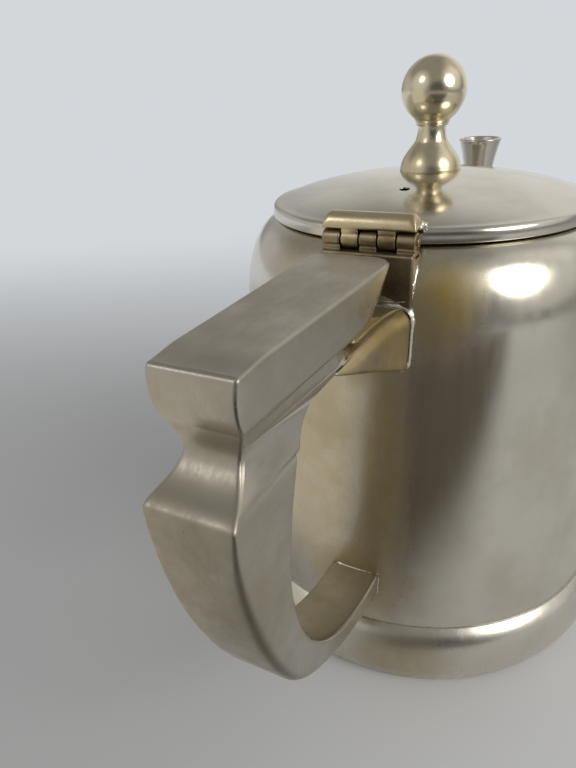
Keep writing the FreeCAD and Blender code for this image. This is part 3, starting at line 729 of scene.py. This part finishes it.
def vector_maths(tree, operation, *values):
    """The output of a Vector Math node over vectors or sockets: a number for a length or a dot product."""
    node = add_node(tree, "ShaderNodeVectorMath", operation=operation)
    for socket, value in zip(node.inputs, values):
        feed(tree, socket, value)
    return node.outputs["Value" if operation in ("LENGTH", "DOT_PRODUCT") else "Vector"]


def blended(tree, amount, first, second):
    """The colour that goes from the first to the second with the amount."""
    node = add_node(tree, "ShaderNodeMix", data_type="RGBA")
    for index, value in ((0, amount), (6, first), (7, second)):
        feed(tree, node.inputs[index], value)
    return node.outputs[2]


def level_between(tree, value, low, high):
    """A smooth step of a value from nothing at low to one at high."""
    node = add_node(tree, "ShaderNodeMapRange", interpolation_type="SMOOTHSTEP", Value=value, From_Min=low,
                    From_Max=high)
    return node.outputs["Result"]


def new_group(name, output, **inputs):
    """An empty shader node group with one number as its output, and inputs that start at the values given.

    A value of three numbers makes a vector input, and the input named Place is left to be linked.
    """
    tree = bpy.data.node_groups.new(name, "ShaderNodeTree")
    tree.interface.new_socket("Place", in_out="INPUT", socket_type="NodeSocketVector")
    for key, value in inputs.items():
        kind = "NodeSocketVector" if isinstance(value, tuple) else "NodeSocketFloat"
        tree.interface.new_socket(key, in_out="INPUT", socket_type=kind).default_value = value
    tree.interface.new_socket(output, in_out="OUTPUT", socket_type="NodeSocketFloat")
    return tree, tree.nodes.new("NodeGroupInput").outputs, tree.nodes.new("NodeGroupOutput").inputs[output]


def patches_group():
    """Cloudy patches: noise at a scale, cut between a low and a high level."""
    tree, given, result = new_group("Cloudy patches", "Mask", Scale=60.0, Low=0.45, High=0.65)
    noise = add_node(tree, "ShaderNodeTexNoise", Vector=given["Place"], Scale=given["Scale"], Detail=5.0,
                     Roughness=0.6)
    feed(tree, result, level_between(tree, noise.outputs["Fac"], given["Low"], given["High"]))


def scratches_group():
    """Fine polishing marks: noise drawn out along one direction, as a height."""
    tree, given, result = new_group("Polishing marks", "Height", Stretch=(300.0, 300.0, 4000.0))
    drawn = vector_maths(tree, "MULTIPLY", given["Place"], given["Stretch"])
    noise = add_node(tree, "ShaderNodeTexNoise", Vector=drawn, Scale=1.0, Detail=3.0, Roughness=0.65)
    feed(tree, result, noise.outputs["Fac"])


def around_group():
    """A soft spot: one up to a share of its reach from a point, nothing past it, with an uneven edge."""
    tree, given, result = new_group("Spot around a point", "Mask", Point=(0.0, 0.0, 0.0),
                                    Shape=(1.0, 1.0, 1.0), Reach=0.01, Full=0.25, Uneven=0.5)
    offset = vector_maths(tree, "SUBTRACT", given["Place"], given["Point"])
    length = vector_maths(tree, "LENGTH", vector_maths(tree, "MULTIPLY", offset, given["Shape"]))
    noise = add_node(tree, "ShaderNodeTexNoise", Vector=given["Place"], Scale=170.0, Detail=4.0,
                     Roughness=0.6)
    waver = maths(tree, "MULTIPLY", maths(tree, "SUBTRACT", noise.outputs["Fac"], 0.5), given["Uneven"])
    away = maths(tree, "ADD", maths(tree, "DIVIDE", length, given["Reach"]), waver)
    feed(tree, result, level_between(tree, away, 1.0, given["Full"]))


def placed(tree, group, place, **values):
    """The output of a group put into a material, fed with the place on the object and its own values."""
    node = add_node(tree, "ShaderNodeGroup", node_tree=bpy.data.node_groups[group])
    for key, value in dict(values, Place=place).items():
        feed(tree, node.inputs[key], value)
    return node.outputs[0]


def stain_mask(tree, place, stains, patch_scale):
    """The strongest of some stains at each place, broken up by patches."""
    mask = 0.0
    for point, falloff, reach, strength in stains:
        spot = placed(tree, "Spot around a point", place, Point=point, Shape=falloff, Reach=reach, Uneven=0.7)
        mask = maths(tree, "MAXIMUM", mask, maths(tree, "MULTIPLY", spot, strength))
    broken = placed(tree, "Cloudy patches", place, Scale=patch_scale * 3.1, Low=0.2, High=0.7)
    broken = maths(tree, "MULTIPLY", broken, 0.45)
    return maths(tree, "MULTIPLY", mask, maths(tree, "ADD", broken, 0.55))


def metal_finish(name, colours, gloss, patch_scale, stretch, marks, soft_edge=0.0):
    """A worn metal: cloudy dulling, specks and stains of tarnish, polishing marks in its gloss and relief.

    The colours are those of bright, dull and tarnished metal, and the gloss is the least and the most
    roughness that the marks give it. soft_edge, in metres, softens the look of sharp edges.
    """
    bright, dull, dark = colours
    rough_low, rough_high = gloss
    material = bpy.data.materials.new(name)
    material.use_nodes = True
    tree = material.node_tree
    shader = tree.nodes["Principled BSDF"]
    place = tree.nodes.new("ShaderNodeTexCoord").outputs["Object"]
    clouds = placed(tree, "Cloudy patches", place, Scale=patch_scale, Low=0.38, High=0.72)
    specks = placed(tree, "Cloudy patches", place, Scale=patch_scale * 9.0, Low=0.64, High=0.78)
    worn = maths(tree, "MULTIPLY", specks, 0.2)
    if name in STAINS:
        worn = maths(tree, "MAXIMUM", worn, stain_mask(tree, place, STAINS[name], patch_scale))
    height = placed(tree, "Polishing marks", place, Stretch=stretch)
    polish = add_node(tree, "ShaderNodeMapRange", Value=height, From_Min=0.3, From_Max=0.7, To_Min=rough_low,
                      To_Max=rough_high)
    rough = maths(tree, "ADD", maths(tree, "MULTIPLY", worn, 0.36), polish.outputs["Result"])
    rough = maths(tree, "ADD", rough, maths(tree, "MULTIPLY", clouds, 0.05), clamp=True)
    bump = add_node(tree, "ShaderNodeBump", Strength=marks, Distance=0.0001, Height=height)
    if soft_edge > 0:
        bevel = add_node(tree, "ShaderNodeBevel", samples=6, Radius=soft_edge)
        feed(tree, bump.inputs["Normal"], bevel.outputs["Normal"])
    feed(tree, shader.inputs["Metallic"], 1.0)
    feed(tree, shader.inputs["Base Color"], blended(tree, worn, blended(tree, clouds, bright, dull), dark))
    feed(tree, shader.inputs["Roughness"], rough)
    feed(tree, shader.inputs["Normal"], bump.outputs["Normal"])


def colour_prop(name, description, red, green, blue):
    """A colour that a user may change."""
    return bpy.props.FloatVectorProperty(name=name, description=description, default=(red, green, blue, 1.0),
                                         size=4, min=0.0, max=1.0, subtype="COLOR")


def number_prop(name, description, default, low, high, **kind):
    """A number that a user may change, with its unit or subtype where one fits."""
    return bpy.props.FloatProperty(name=name, description=description, default=default, min=low, max=high,
                                   **kind)


class TeapotFinish(bpy.types.PropertyGroup):
    """Colours and gloss of the metals."""

    silver: colour_prop("Silver", "Colour of clean silver plate", 0.70, 0.665, 0.585)
    dull_silver: colour_prop("Dull silver", "Colour of dulled silver plate", 0.60, 0.565, 0.475)
    worn_silver: colour_prop("Worn silver", "Colour of the handle's satin plate", 0.53, 0.50, 0.44)
    tarnish: colour_prop("Tarnish", "Colour of the brown tarnish near the joints", 0.41, 0.30, 0.105)
    brass: colour_prop("Brass", "Colour of the brass under worn plating", 0.60, 0.49, 0.30)
    dark_brass: colour_prop("Dark brass", "Colour of brass with old dirt", 0.20, 0.13, 0.065)
    satin: number_prop("Satin", "Roughness of the handle", 0.30, 0.0, 1.0, subtype="FACTOR")
    polish: number_prop("Polish", "Roughness of the pot", 0.14, 0.0, 1.0, subtype="FACTOR")


class TeapotShape(bpy.types.PropertyGroup):
    """Softness of the edges and size of the solder, in millimetres."""

    handle_edge: number_prop("Handle edge", "Rounding of the handle's edges in millimetres", 0.6, 0.1, 2.0)
    lid_edge: number_prop("Lid edge", "Rounding of the lid's edge in millimetres", 1.1, 0.1, 1.4)
    solder: number_prop("Solder", "Size of the solder beads in millimetres", 1.1, 0.2, 2.0)


class TeapotStage(bpy.types.PropertyGroup):
    """Light and ground."""

    near_ground: colour_prop("Near ground", "Colour of the ground around the pot", 0.63, 0.64, 0.66)
    # The pale ground is a painted pool of light on the ground in front of the pot, on the right lamp's side.
    light_pool_ground: colour_prop("Pale ground", "Colour of the paler patch of ground", 0.80, 0.81, 0.83)
    warm_ground: colour_prop("Warm ground", "The room's sunlit side in reflections", 0.60, 0.565, 0.485)
    dark_ground: colour_prop("Dark ground", "The room's dim side in reflections", 0.155, 0.135, 0.11)
    backdrop: colour_prop("Backdrop", "Colour of the background behind the pot", 0.651, 0.680, 0.708)
    left_power: number_prop("Left lamp power", "Power of the small lamp", 0.32, 0.0, 20.0, unit="POWER")
    left_size: number_prop("Left lamp size", "Width of the small lamp", 0.26, 0.05, 2.0, unit="LENGTH")
    right_power: number_prop("Right lamp power", "Power of the large lamp", 1.9, 0.0, 20.0, unit="POWER")
    right_size: number_prop("Right lamp size", "Width of the large lamp", 0.48, 0.05, 2.0, unit="LENGTH")


# Stains of each metal: middle in metres, how fast it falls off along each axis, reach in metres, strength.
STAINS = {
    "Pot silver": (
        ((-0.047, 0.0, 0.092), (1.0, 0.9, 1.0), 0.019, 0.85),
        ((-0.050, 0.0, 0.029), (1.0, 0.9, 1.0), 0.017, 0.8),
        ((-0.041, 0.0, 0.102), (1.0, 0.8, 1.0), 0.018, 0.7),
        ((-0.046, -0.006, 0.062), (0.6, 1.6, 0.32), 0.014, 0.8),
        ((-0.047, 0.008, 0.062), (1.0, 0.9, 0.36), 0.021, 0.38),
        ((-0.0415, -0.0150, 0.097), (1.0, 1.0, 0.75), 0.0115, 1.0),
        ((-0.047, -0.006, 0.044), (1.0, 1.3, 0.5), 0.013, 0.6),
        ((-0.0368, 0.0170, 0.1035), (1.0, 0.8, 1.0), 0.010, 0.35)),
    "Foot silver": (((-0.0505, -0.013, 0.009), (1.0, 0.7, 1.0), 0.012, 0.5),),
    "Lid silver": (((-0.036, 0.0, 0.111), (0.8, 0.9, 1.0), 0.010, 0.35),),
    "Handle silver": (
        ((-0.1053, 0.0006, 0.0868), (1.0, 1.0, 1.0), 0.0005, 1.0),
        ((-0.0985, -0.002, 0.1078), (1.0, 0.5, 1.5), 0.0045, 0.35),
        ((-0.0575, 0.0, 0.032), (0.7, 1.0, 1.0), 0.017, 0.6),
        ((-0.068, 0.0, 0.1085), (0.22, 0.6, 3.0), 0.011, 0.45),
        ((-0.105, 0.0, 0.072), (0.8, 0.8, 0.45), 0.016, 0.6)),
    "Neck silver": (((-0.048, 0.0, 0.092), (1.0, 1.0, 1.0), 0.020, 0.8),),
    "Finial silver": (((0.0, 0.0, 0.1165), (1.0, 1.0, 2.0), 0.011, 0.5),),
    "Worn brass": (
        ((-0.0425, -0.0038, 0.1085), (1.0, 1.0, 0.9), 0.0032, 1.0),
        ((-0.0425, 0.0038, 0.1080), (1.0, 0.8, 1.2), 0.0032, 0.5)),
    "Bracket metal": (((-0.0436, 0.0, 0.100), (1.0, 0.5, 0.8), 0.008, 1.0),),
}

# The CAD nodes that each metal is given to.
METAL_NODES = {
    "Pot silver": ("pot_shell", "foot_ring", "bottom_disc", "mouth_collar", "spout"),
    "Lid silver": ("lid_shell", "lid_bezel"),
    "Handle silver": ("handle_right_half", "handle_left_half"),
    "Neck silver": ("handle_neck",),
    "Finial silver": ("finial_base", "finial_ball"),
    "Worn brass": ("hinge_leaf", "hinge_pin"),
    "Bracket metal": ("hinge_bracket",),
    "Plain brass": ("finial_stud", "finial_washer", "finial_nut"),
}


class TEAPOT_OT_finishes(bpy.types.Operator):
    """Makes the metals and gives them to the CAD nodes."""

    bl_idname = "teapot.finishes"
    bl_label = "Metals"

    def execute(self, context):
        patches_group()
        scratches_group()
        around_group()
        own = context.scene.teapot_finish
        polish = own.polish
        satin = own.satin
        silver, dull, worn, tarnish, brass, dirt = (
            tuple(colour) for colour in (own.silver, own.dull_silver, own.worn_silver, own.tarnish, own.brass,
                                         own.dark_brass))
        plate = (silver, dull, tarnish)
        handle = (worn, (0.46, 0.425, 0.36, 1.0), (0.38, 0.33, 0.235, 1.0))
        neck = ((0.54, 0.46, 0.31, 1.0), (0.47, 0.37, 0.20, 1.0), (0.36, 0.27, 0.10, 1.0))
        solder = ((0.80, 0.77, 0.69, 1.0), silver, tarnish)
        finial = ((0.80, 0.72, 0.54, 1.0), (0.70, 0.60, 0.40, 1.0), tarnish)
        worn_brass = ((0.66, 0.56, 0.37, 1.0), brass, dirt)
        bracket = ((0.36, 0.29, 0.19, 1.0), (0.28, 0.21, 0.13, 1.0), (0.10, 0.07, 0.045, 1.0))
        plain_brass = ((0.70, 0.57, 0.32, 1.0), (0.6, 0.48, 0.26, 1.0), dirt)
        upright = (500.0, 500.0, 60.0)
        sideways = (800.0, 250.0, 800.0)
        lengthways = (260.0, 1500.0, 700.0)
        metal_finish("Pot silver", plate, (polish - 0.03, polish + 0.05), 55.0, upright, 0.05, 0.0004)
        metal_finish("Foot silver", plate, (polish + 0.06, polish + 0.14), 55.0, upright, 0.05, 0.0003)
        metal_finish("Lid silver", plate, (polish - 0.05, polish + 0.02), 45.0, (420.0,) * 3, 0.05, 0.0003)
        metal_finish("Handle silver", handle, (satin - 0.06, satin + 0.06), 70.0, lengthways, 0.08)
        metal_finish("Neck silver", neck, (0.26, 0.38), 80.0, (700.0,) * 3, 0.08, 0.0004)
        metal_finish("Solder", solder, (0.18, 0.34), 160.0, (900.0,) * 3, 0.2)
        metal_finish("Finial silver", finial, (0.13, 0.22), 70.0, (500.0,) * 3, 0.04, 0.0003)
        metal_finish("Worn brass", worn_brass, (0.2, 0.34), 120.0, sideways, 0.1, 0.0002)
        metal_finish("Bracket metal", bracket, (0.25, 0.42), 120.0, sideways, 0.12, 0.0003)
        metal_finish("Plain brass", plain_brass, (0.25, 0.4), 150.0, (900.0,) * 3, 0.1, 0.0002)
        for metal, names in METAL_NODES.items():
            for name in names:
                mesh = nodes[name].data
                mesh.materials.clear()
                mesh.materials.append(bpy.data.materials[metal])
        return {"FINISHED"}


class TEAPOT_OT_handle(bpy.types.Operator):
    """Makes the handle with softened edges and its cast neck."""

    bl_idname = "teapot.handle"
    bl_label = "Handle and neck"

    def execute(self, context):
        surface = handle_surface(context.scene.teapot_shape.handle_edge)
        put_piece("handle", [surface], "Handle silver", "pot", "satin_silver",
                  "handle_right_half", "handle_left_half")
        put_piece("neck", [neck_surface(0.7)], "Neck silver", "pot", "satin_silver", "handle_neck")
        return {"FINISHED"}


class TEAPOT_OT_solder(bpy.types.Operator):
    """Makes the beads of solder round the joints on the wall and the drops beside the hinge."""

    bl_idname = "teapot.solder"
    bl_label = "Solder"

    def execute(self, context):
        size = context.scene.teapot_shape.solder
        neck_joint = solder_surface(90.4, 9.9, 6.3, 0.7 * size, 0.35)
        lower_joint = solder_surface(29.3, 5.6, 2.7, 0.6 * size, 0.4)
        bracket_joint = solder_surface(101.2, 9.3, 3.6, 0.5 * size, 0.3)
        bracket_drop = bead_surface((-42.6, -9.35, 100.6), (0.6, 0.45, 1.0))
        put_piece("solder", [neck_joint, lower_joint, bracket_joint, bracket_drop], "Solder", "pot",
                  "satin_silver")
        drops = ((-37.6, -8.9, 111.3, 0.9), (-36.6, -7.6, 111.4, 0.6),
                 (-36.0, -9.2, 110.9, 0.7), (-39.3, -9.2, 111.2, 0.7))
        beads = [bead_surface((x, y, z), (radius, radius, 0.8 * radius)) for x, y, z, radius in drops]
        put_piece("lid_solder", beads, "Solder", "lid", "satin_silver")
        return {"FINISHED"}


class TEAPOT_OT_round_pieces(bpy.types.Operator):
    """Makes the turned pieces: foot moulding, lid, finial base and ball."""

    bl_idname = "teapot.round_pieces"
    bl_label = "Foot, lid and finial"

    def execute(self, context):
        lid = lid_surface(context.scene.teapot_shape.lid_edge)
        put_piece("foot_moulding", [foot_surface()], "Foot silver", "pot", "satin_silver", "foot_ring")
        put_piece("lid_dome", [lid], "Lid silver", "lid", "satin_silver", "lid_shell")
        put_piece("finial_bell", [finial_surface()], "Finial silver", "lid", "polished_silver", "finial_base")
        put_piece("finial_knob", [knob_surface()], "Finial silver", "lid", "polished_silver", "finial_ball")
        return {"FINISHED"}


class TEAPOT_OT_spout(bpy.types.Operator):
    """Makes the spout with its rolled lip."""

    bl_idname = "teapot.spout"
    bl_label = "Spout"

    def execute(self, context):
        put_piece("spout_tube", [spout_surface()], "Pot silver", "pot", "satin_silver", "spout")
        return {"FINISHED"}


class TEAPOT_OT_hinge(bpy.types.Operator):
    """Makes the hinge: bracket, leaf and their knuckles, in turn from side to side."""

    bl_idname = "teapot.hinge"
    bl_label = "Hinge"

    def execute(self, context):
        step = 2 * HINGE_HALF / KNUCKLES
        half_web = 1.5
        bracket = [bracket_surface((-43.6, -HINGE_HALF, 94.2), (-38.4, HINGE_HALF, 106.7), 0.5)]
        leaf = [leaf_surface()]
        # Each kind of knuckle: its owner, its bore, and the heights between which a web ties it to the owner.
        kinds = ((bracket, 0.81, 105.5, 107.6), (leaf, 0.86, 109.8, 111.2))
        for number in range(KNUCKLES):
            owner, bore, web_low, web_high = kinds[number % 2]
            low = -HINGE_HALF + number * step
            high = low + step
            if number > 0:
                low += KNUCKLE_GAP
            if number < KNUCKLES - 1:
                high -= KNUCKLE_GAP
            owner.append(barrel_surface(low, high, KNUCKLE_RADIUS, bore))
            owner.append(block_surface((HINGE_X - half_web, low, web_low),
                                       (HINGE_X + half_web, high, web_high), 0.25))
        put_piece("bracket", bracket, "Bracket metal", "pot", "worn_brass", "hinge_bracket")
        put_piece("leaf", leaf, "Worn brass", "lid", "worn_brass", "hinge_leaf")
        return {"FINISHED"}


def towards(tree, direction, azimuth, rise, full, ends):
    """A mask that is one within an angle of a direction and nothing past another, all in degrees."""
    azimuth, rise, full, ends = (math.radians(v) for v in (azimuth, rise, full, ends))
    aim = (math.cos(rise) * math.cos(azimuth), math.cos(rise) * math.sin(azimuth), math.sin(rise))
    near = vector_maths(tree, "DOT_PRODUCT", direction, aim)
    return level_between(tree, near, math.cos(ends), math.cos(full))


def ground_material(own):
    """Plain ground with a slightly paler patch in front, a painted pool of light; the ground fades into the
    backdrop behind the pot.

    The far part behind the pot gives its own light to whatever looks at it or mirrors it, so that the camera
    of the photograph sees no horizon. From other sides the ground's edge shows. The rest is lit by the room
    and takes the shadow. Mirrored in the metal alone, a dark part and a warm part stand for the dim and the
    sunlit side of the room behind the camera.
    """
    black = (0.0, 0.0, 0.0, 1.0)
    away_from_camera = (0.877, 0.480, 0.0)
    across_dim_side = (1.0, -0.359, 0.0)
    material = bpy.data.materials.new("Ground")
    material.use_nodes = True
    tree = material.node_tree
    shader = tree.nodes["Principled BSDF"]
    place = tree.nodes.new("ShaderNodeTexCoord").outputs["Object"]
    path = tree.nodes.new("ShaderNodeLightPath").outputs
    mirrored = path["Is Glossy Ray"]
    direction = vector_maths(tree, "NORMALIZE", place)
    reach = vector_maths(tree, "LENGTH", place)
    depth = vector_maths(tree, "DOT_PRODUCT", place, away_from_camera)
    across = vector_maths(tree, "DOT_PRODUCT", place, across_dim_side)
    # The paler patch is a painted pool of light on the ground, on the right lamp's side of the pot.
    light_pool = placed(tree, "Spot around a point", place, Point=(-0.02, -0.12, 0.0), Reach=0.22, Full=0.2,
                  Uneven=0.0)
    dark = towards(tree, direction, -146.0, 0.0, 22.0, 40.0)
    beside = level_between(tree, across, -0.035, -0.110)
    for limit in (beside, level_between(tree, reach, 0.9, 0.4), mirrored):
        dark = maths(tree, "MULTIPLY", dark, limit)
    warm = towards(tree, direction, 136.0, 0.0, 18.0, 32.0)
    for limit in (level_between(tree, reach, 0.07, 0.11), mirrored):
        warm = maths(tree, "MULTIPLY", warm, limit)
    far = level_between(tree, depth, 0.05, 0.48)
    colour = blended(tree, light_pool, tuple(own.near_ground), tuple(own.light_pool_ground))
    colour = blended(tree, dark, colour, tuple(own.dark_ground))
    lit = maths(tree, "SUBTRACT", 1.0, maths(tree, "MAXIMUM", far, warm))
    seen = maths(tree, "MAXIMUM", path["Is Camera Ray"], mirrored)
    seen = maths(tree, "MAXIMUM", seen, path["Is Transmission Ray"])
    glow = blended(tree, far, black, tuple(own.backdrop))
    glow = blended(tree, warm, glow, tuple(own.warm_ground))
    feed(tree, shader.inputs["Base Color"], blended(tree, lit, black, colour))
    feed(tree, shader.inputs["Roughness"], 0.85)
    feed(tree, shader.inputs["Specular IOR Level"], 0.0)
    feed(tree, shader.inputs["Emission Color"], blended(tree, seen, black, glow))
    feed(tree, shader.inputs["Emission Strength"], 1.0)
    return material


# Pale and dark parts of the room: azimuth and height in degrees, where the part is full and where it ends,
# and what it adds to the plain light.
PLAIN_LIGHT = 0.27
ROOM = ((-5.0, 9.0, 16.0, 48.0, 0.48), (-90.0, 28.0, 18.0, 42.0, 0.40), (138.0, 22.0, 18.0, 42.0, 0.32),
        (80.0, 0.0, 15.0, 34.0, 0.24), (-50.0, 45.0, 10.0, 30.0, 0.22), (46.0, 22.0, 8.0, 22.0, 0.12),
        (-154.0, 0.0, 14.0, 36.0, -0.18))
ROOM_TINT = (1.0, 0.99, 0.96)


def studio_world(own):
    """A plain room: an even light with paler and darker round parts, found from the angle to each middle."""
    world = bpy.data.worlds.new("Studio")
    bpy.context.scene.world = world
    world.use_nodes = True
    tree = world.node_tree
    direction = tree.nodes.new("ShaderNodeTexCoord").outputs["Generated"]
    total = PLAIN_LIGHT
    for azimuth, rise, full, ends, amount in ROOM:
        part = maths(tree, "MULTIPLY", towards(tree, direction, azimuth, rise, full, ends), amount)
        total = maths(tree, "ADD", part, total)
    seen = tree.nodes.new("ShaderNodeLightPath").outputs["Is Camera Ray"]
    colour = blended(tree, seen, vector_maths(tree, "MULTIPLY", total, ROOM_TINT), tuple(own.backdrop))
    feed(tree, tree.nodes["Background"].inputs["Color"], colour)


def soft_lamp(name, direction, power, size):
    """A round soft lamp in a direction from the pot, turned towards it."""
    distance = 0.8
    pot_middle = Vector((-0.03, 0.0, 0.09))
    data = bpy.data.lights.new(name, "AREA")
    data.shape = "DISK"
    data.size = size
    data.energy = power
    data.color = (1.0, 0.985, 0.95)
    lamp = put_object(name, data)
    aim = Vector(direction).normalized()
    lamp.location = pot_middle + aim * distance
    lamp.rotation_mode = "QUATERNION"
    lamp.rotation_quaternion = aim.to_track_quat("Z", "Y")


def photo_camera():
    """The camera of the photograph, from its place and the directions of its right, down and forward."""
    data = bpy.data.cameras.new("photo_camera")
    data.sensor_width = 36.0
    data.lens = 28.628
    data.clip_start = 0.01
    data.clip_end = 20.0
    camera = put_object("photo_camera", data)
    place = Vector((-0.151955, -0.041105, 0.137350))
    right = Vector((0.45704, -0.88798, -0.05098))
    down = Vector((-0.41979, -0.16483, -0.89253))
    forward = Vector((0.78415, 0.42932, -0.44810))
    turn = Matrix((right, -down, -forward)).transposed().to_4x4()
    camera.matrix_world = Matrix.Translation(place) @ turn
    return camera


class TEAPOT_OT_stage(bpy.types.Operator):
    """Sets the ground, the room, two soft lamps and the camera of the photograph."""

    bl_idname = "teapot.stage"
    bl_label = "Stage"

    def execute(self, context):
        own = context.scene.teapot_stage
        ground_radius = 4000.0
        radius = ground_radius * np.linspace(0.0, 1.0, 12) ** 2
        disc = turned(pairs(radius, np.zeros(len(radius))), 96, False)
        ground = put_object("ground", clean_mesh("ground", [disc], ground_material(own)))
        studio_world(own)
        soft_lamp("lamp_left", (-0.646, 0.487, 0.588), own.left_power, own.left_size)
        soft_lamp("lamp_right", (-0.230, -0.862, 0.454), own.right_power, own.right_size)
        context.scene.camera = photo_camera()
        context.scene.view_settings.view_transform = "Standard"
        return {"FINISHED"}


class TEAPOT_PT_panel(bpy.types.Panel):
    """Lists the steps that dress the teapot."""

    bl_idname = "TEAPOT_PT_panel"
    bl_label = "Teapot"
    bl_space_type = "VIEW_3D"
    bl_region_type = "UI"
    bl_category = "Teapot"

    def draw(self, context):
        for step in STEPS:
            self.layout.operator(step.bl_idname)


STEPS = (TEAPOT_OT_finishes, TEAPOT_OT_handle, TEAPOT_OT_solder, TEAPOT_OT_round_pieces, TEAPOT_OT_spout,
         TEAPOT_OT_hinge, TEAPOT_OT_stage)
CLASSES = (TeapotFinish, TeapotShape, TeapotStage) + STEPS + (TEAPOT_PT_panel,)


def register():
    """Adds the classes and the settings to Blender."""
    for item in CLASSES:
        bpy.utils.register_class(item)
    bpy.types.Scene.teapot_finish = bpy.props.PointerProperty(type=TeapotFinish)
    bpy.types.Scene.teapot_shape = bpy.props.PointerProperty(type=TeapotShape)
    bpy.types.Scene.teapot_stage = bpy.props.PointerProperty(type=TeapotStage)


def unregister():
    """Removes the settings and the classes from Blender."""
    del bpy.types.Scene.teapot_stage
    del bpy.types.Scene.teapot_shape
    del bpy.types.Scene.teapot_finish
    for item in reversed(CLASSES):
        bpy.utils.unregister_class(item)


def main():
    """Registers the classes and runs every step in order."""
    register()
    bpy.ops.teapot.finishes()
    bpy.ops.teapot.handle()
    bpy.ops.teapot.solder()
    bpy.ops.teapot.round_pieces()
    bpy.ops.teapot.spout()
    bpy.ops.teapot.hinge()
    bpy.ops.teapot.stage()


if __name__ == "__main__":
    main()
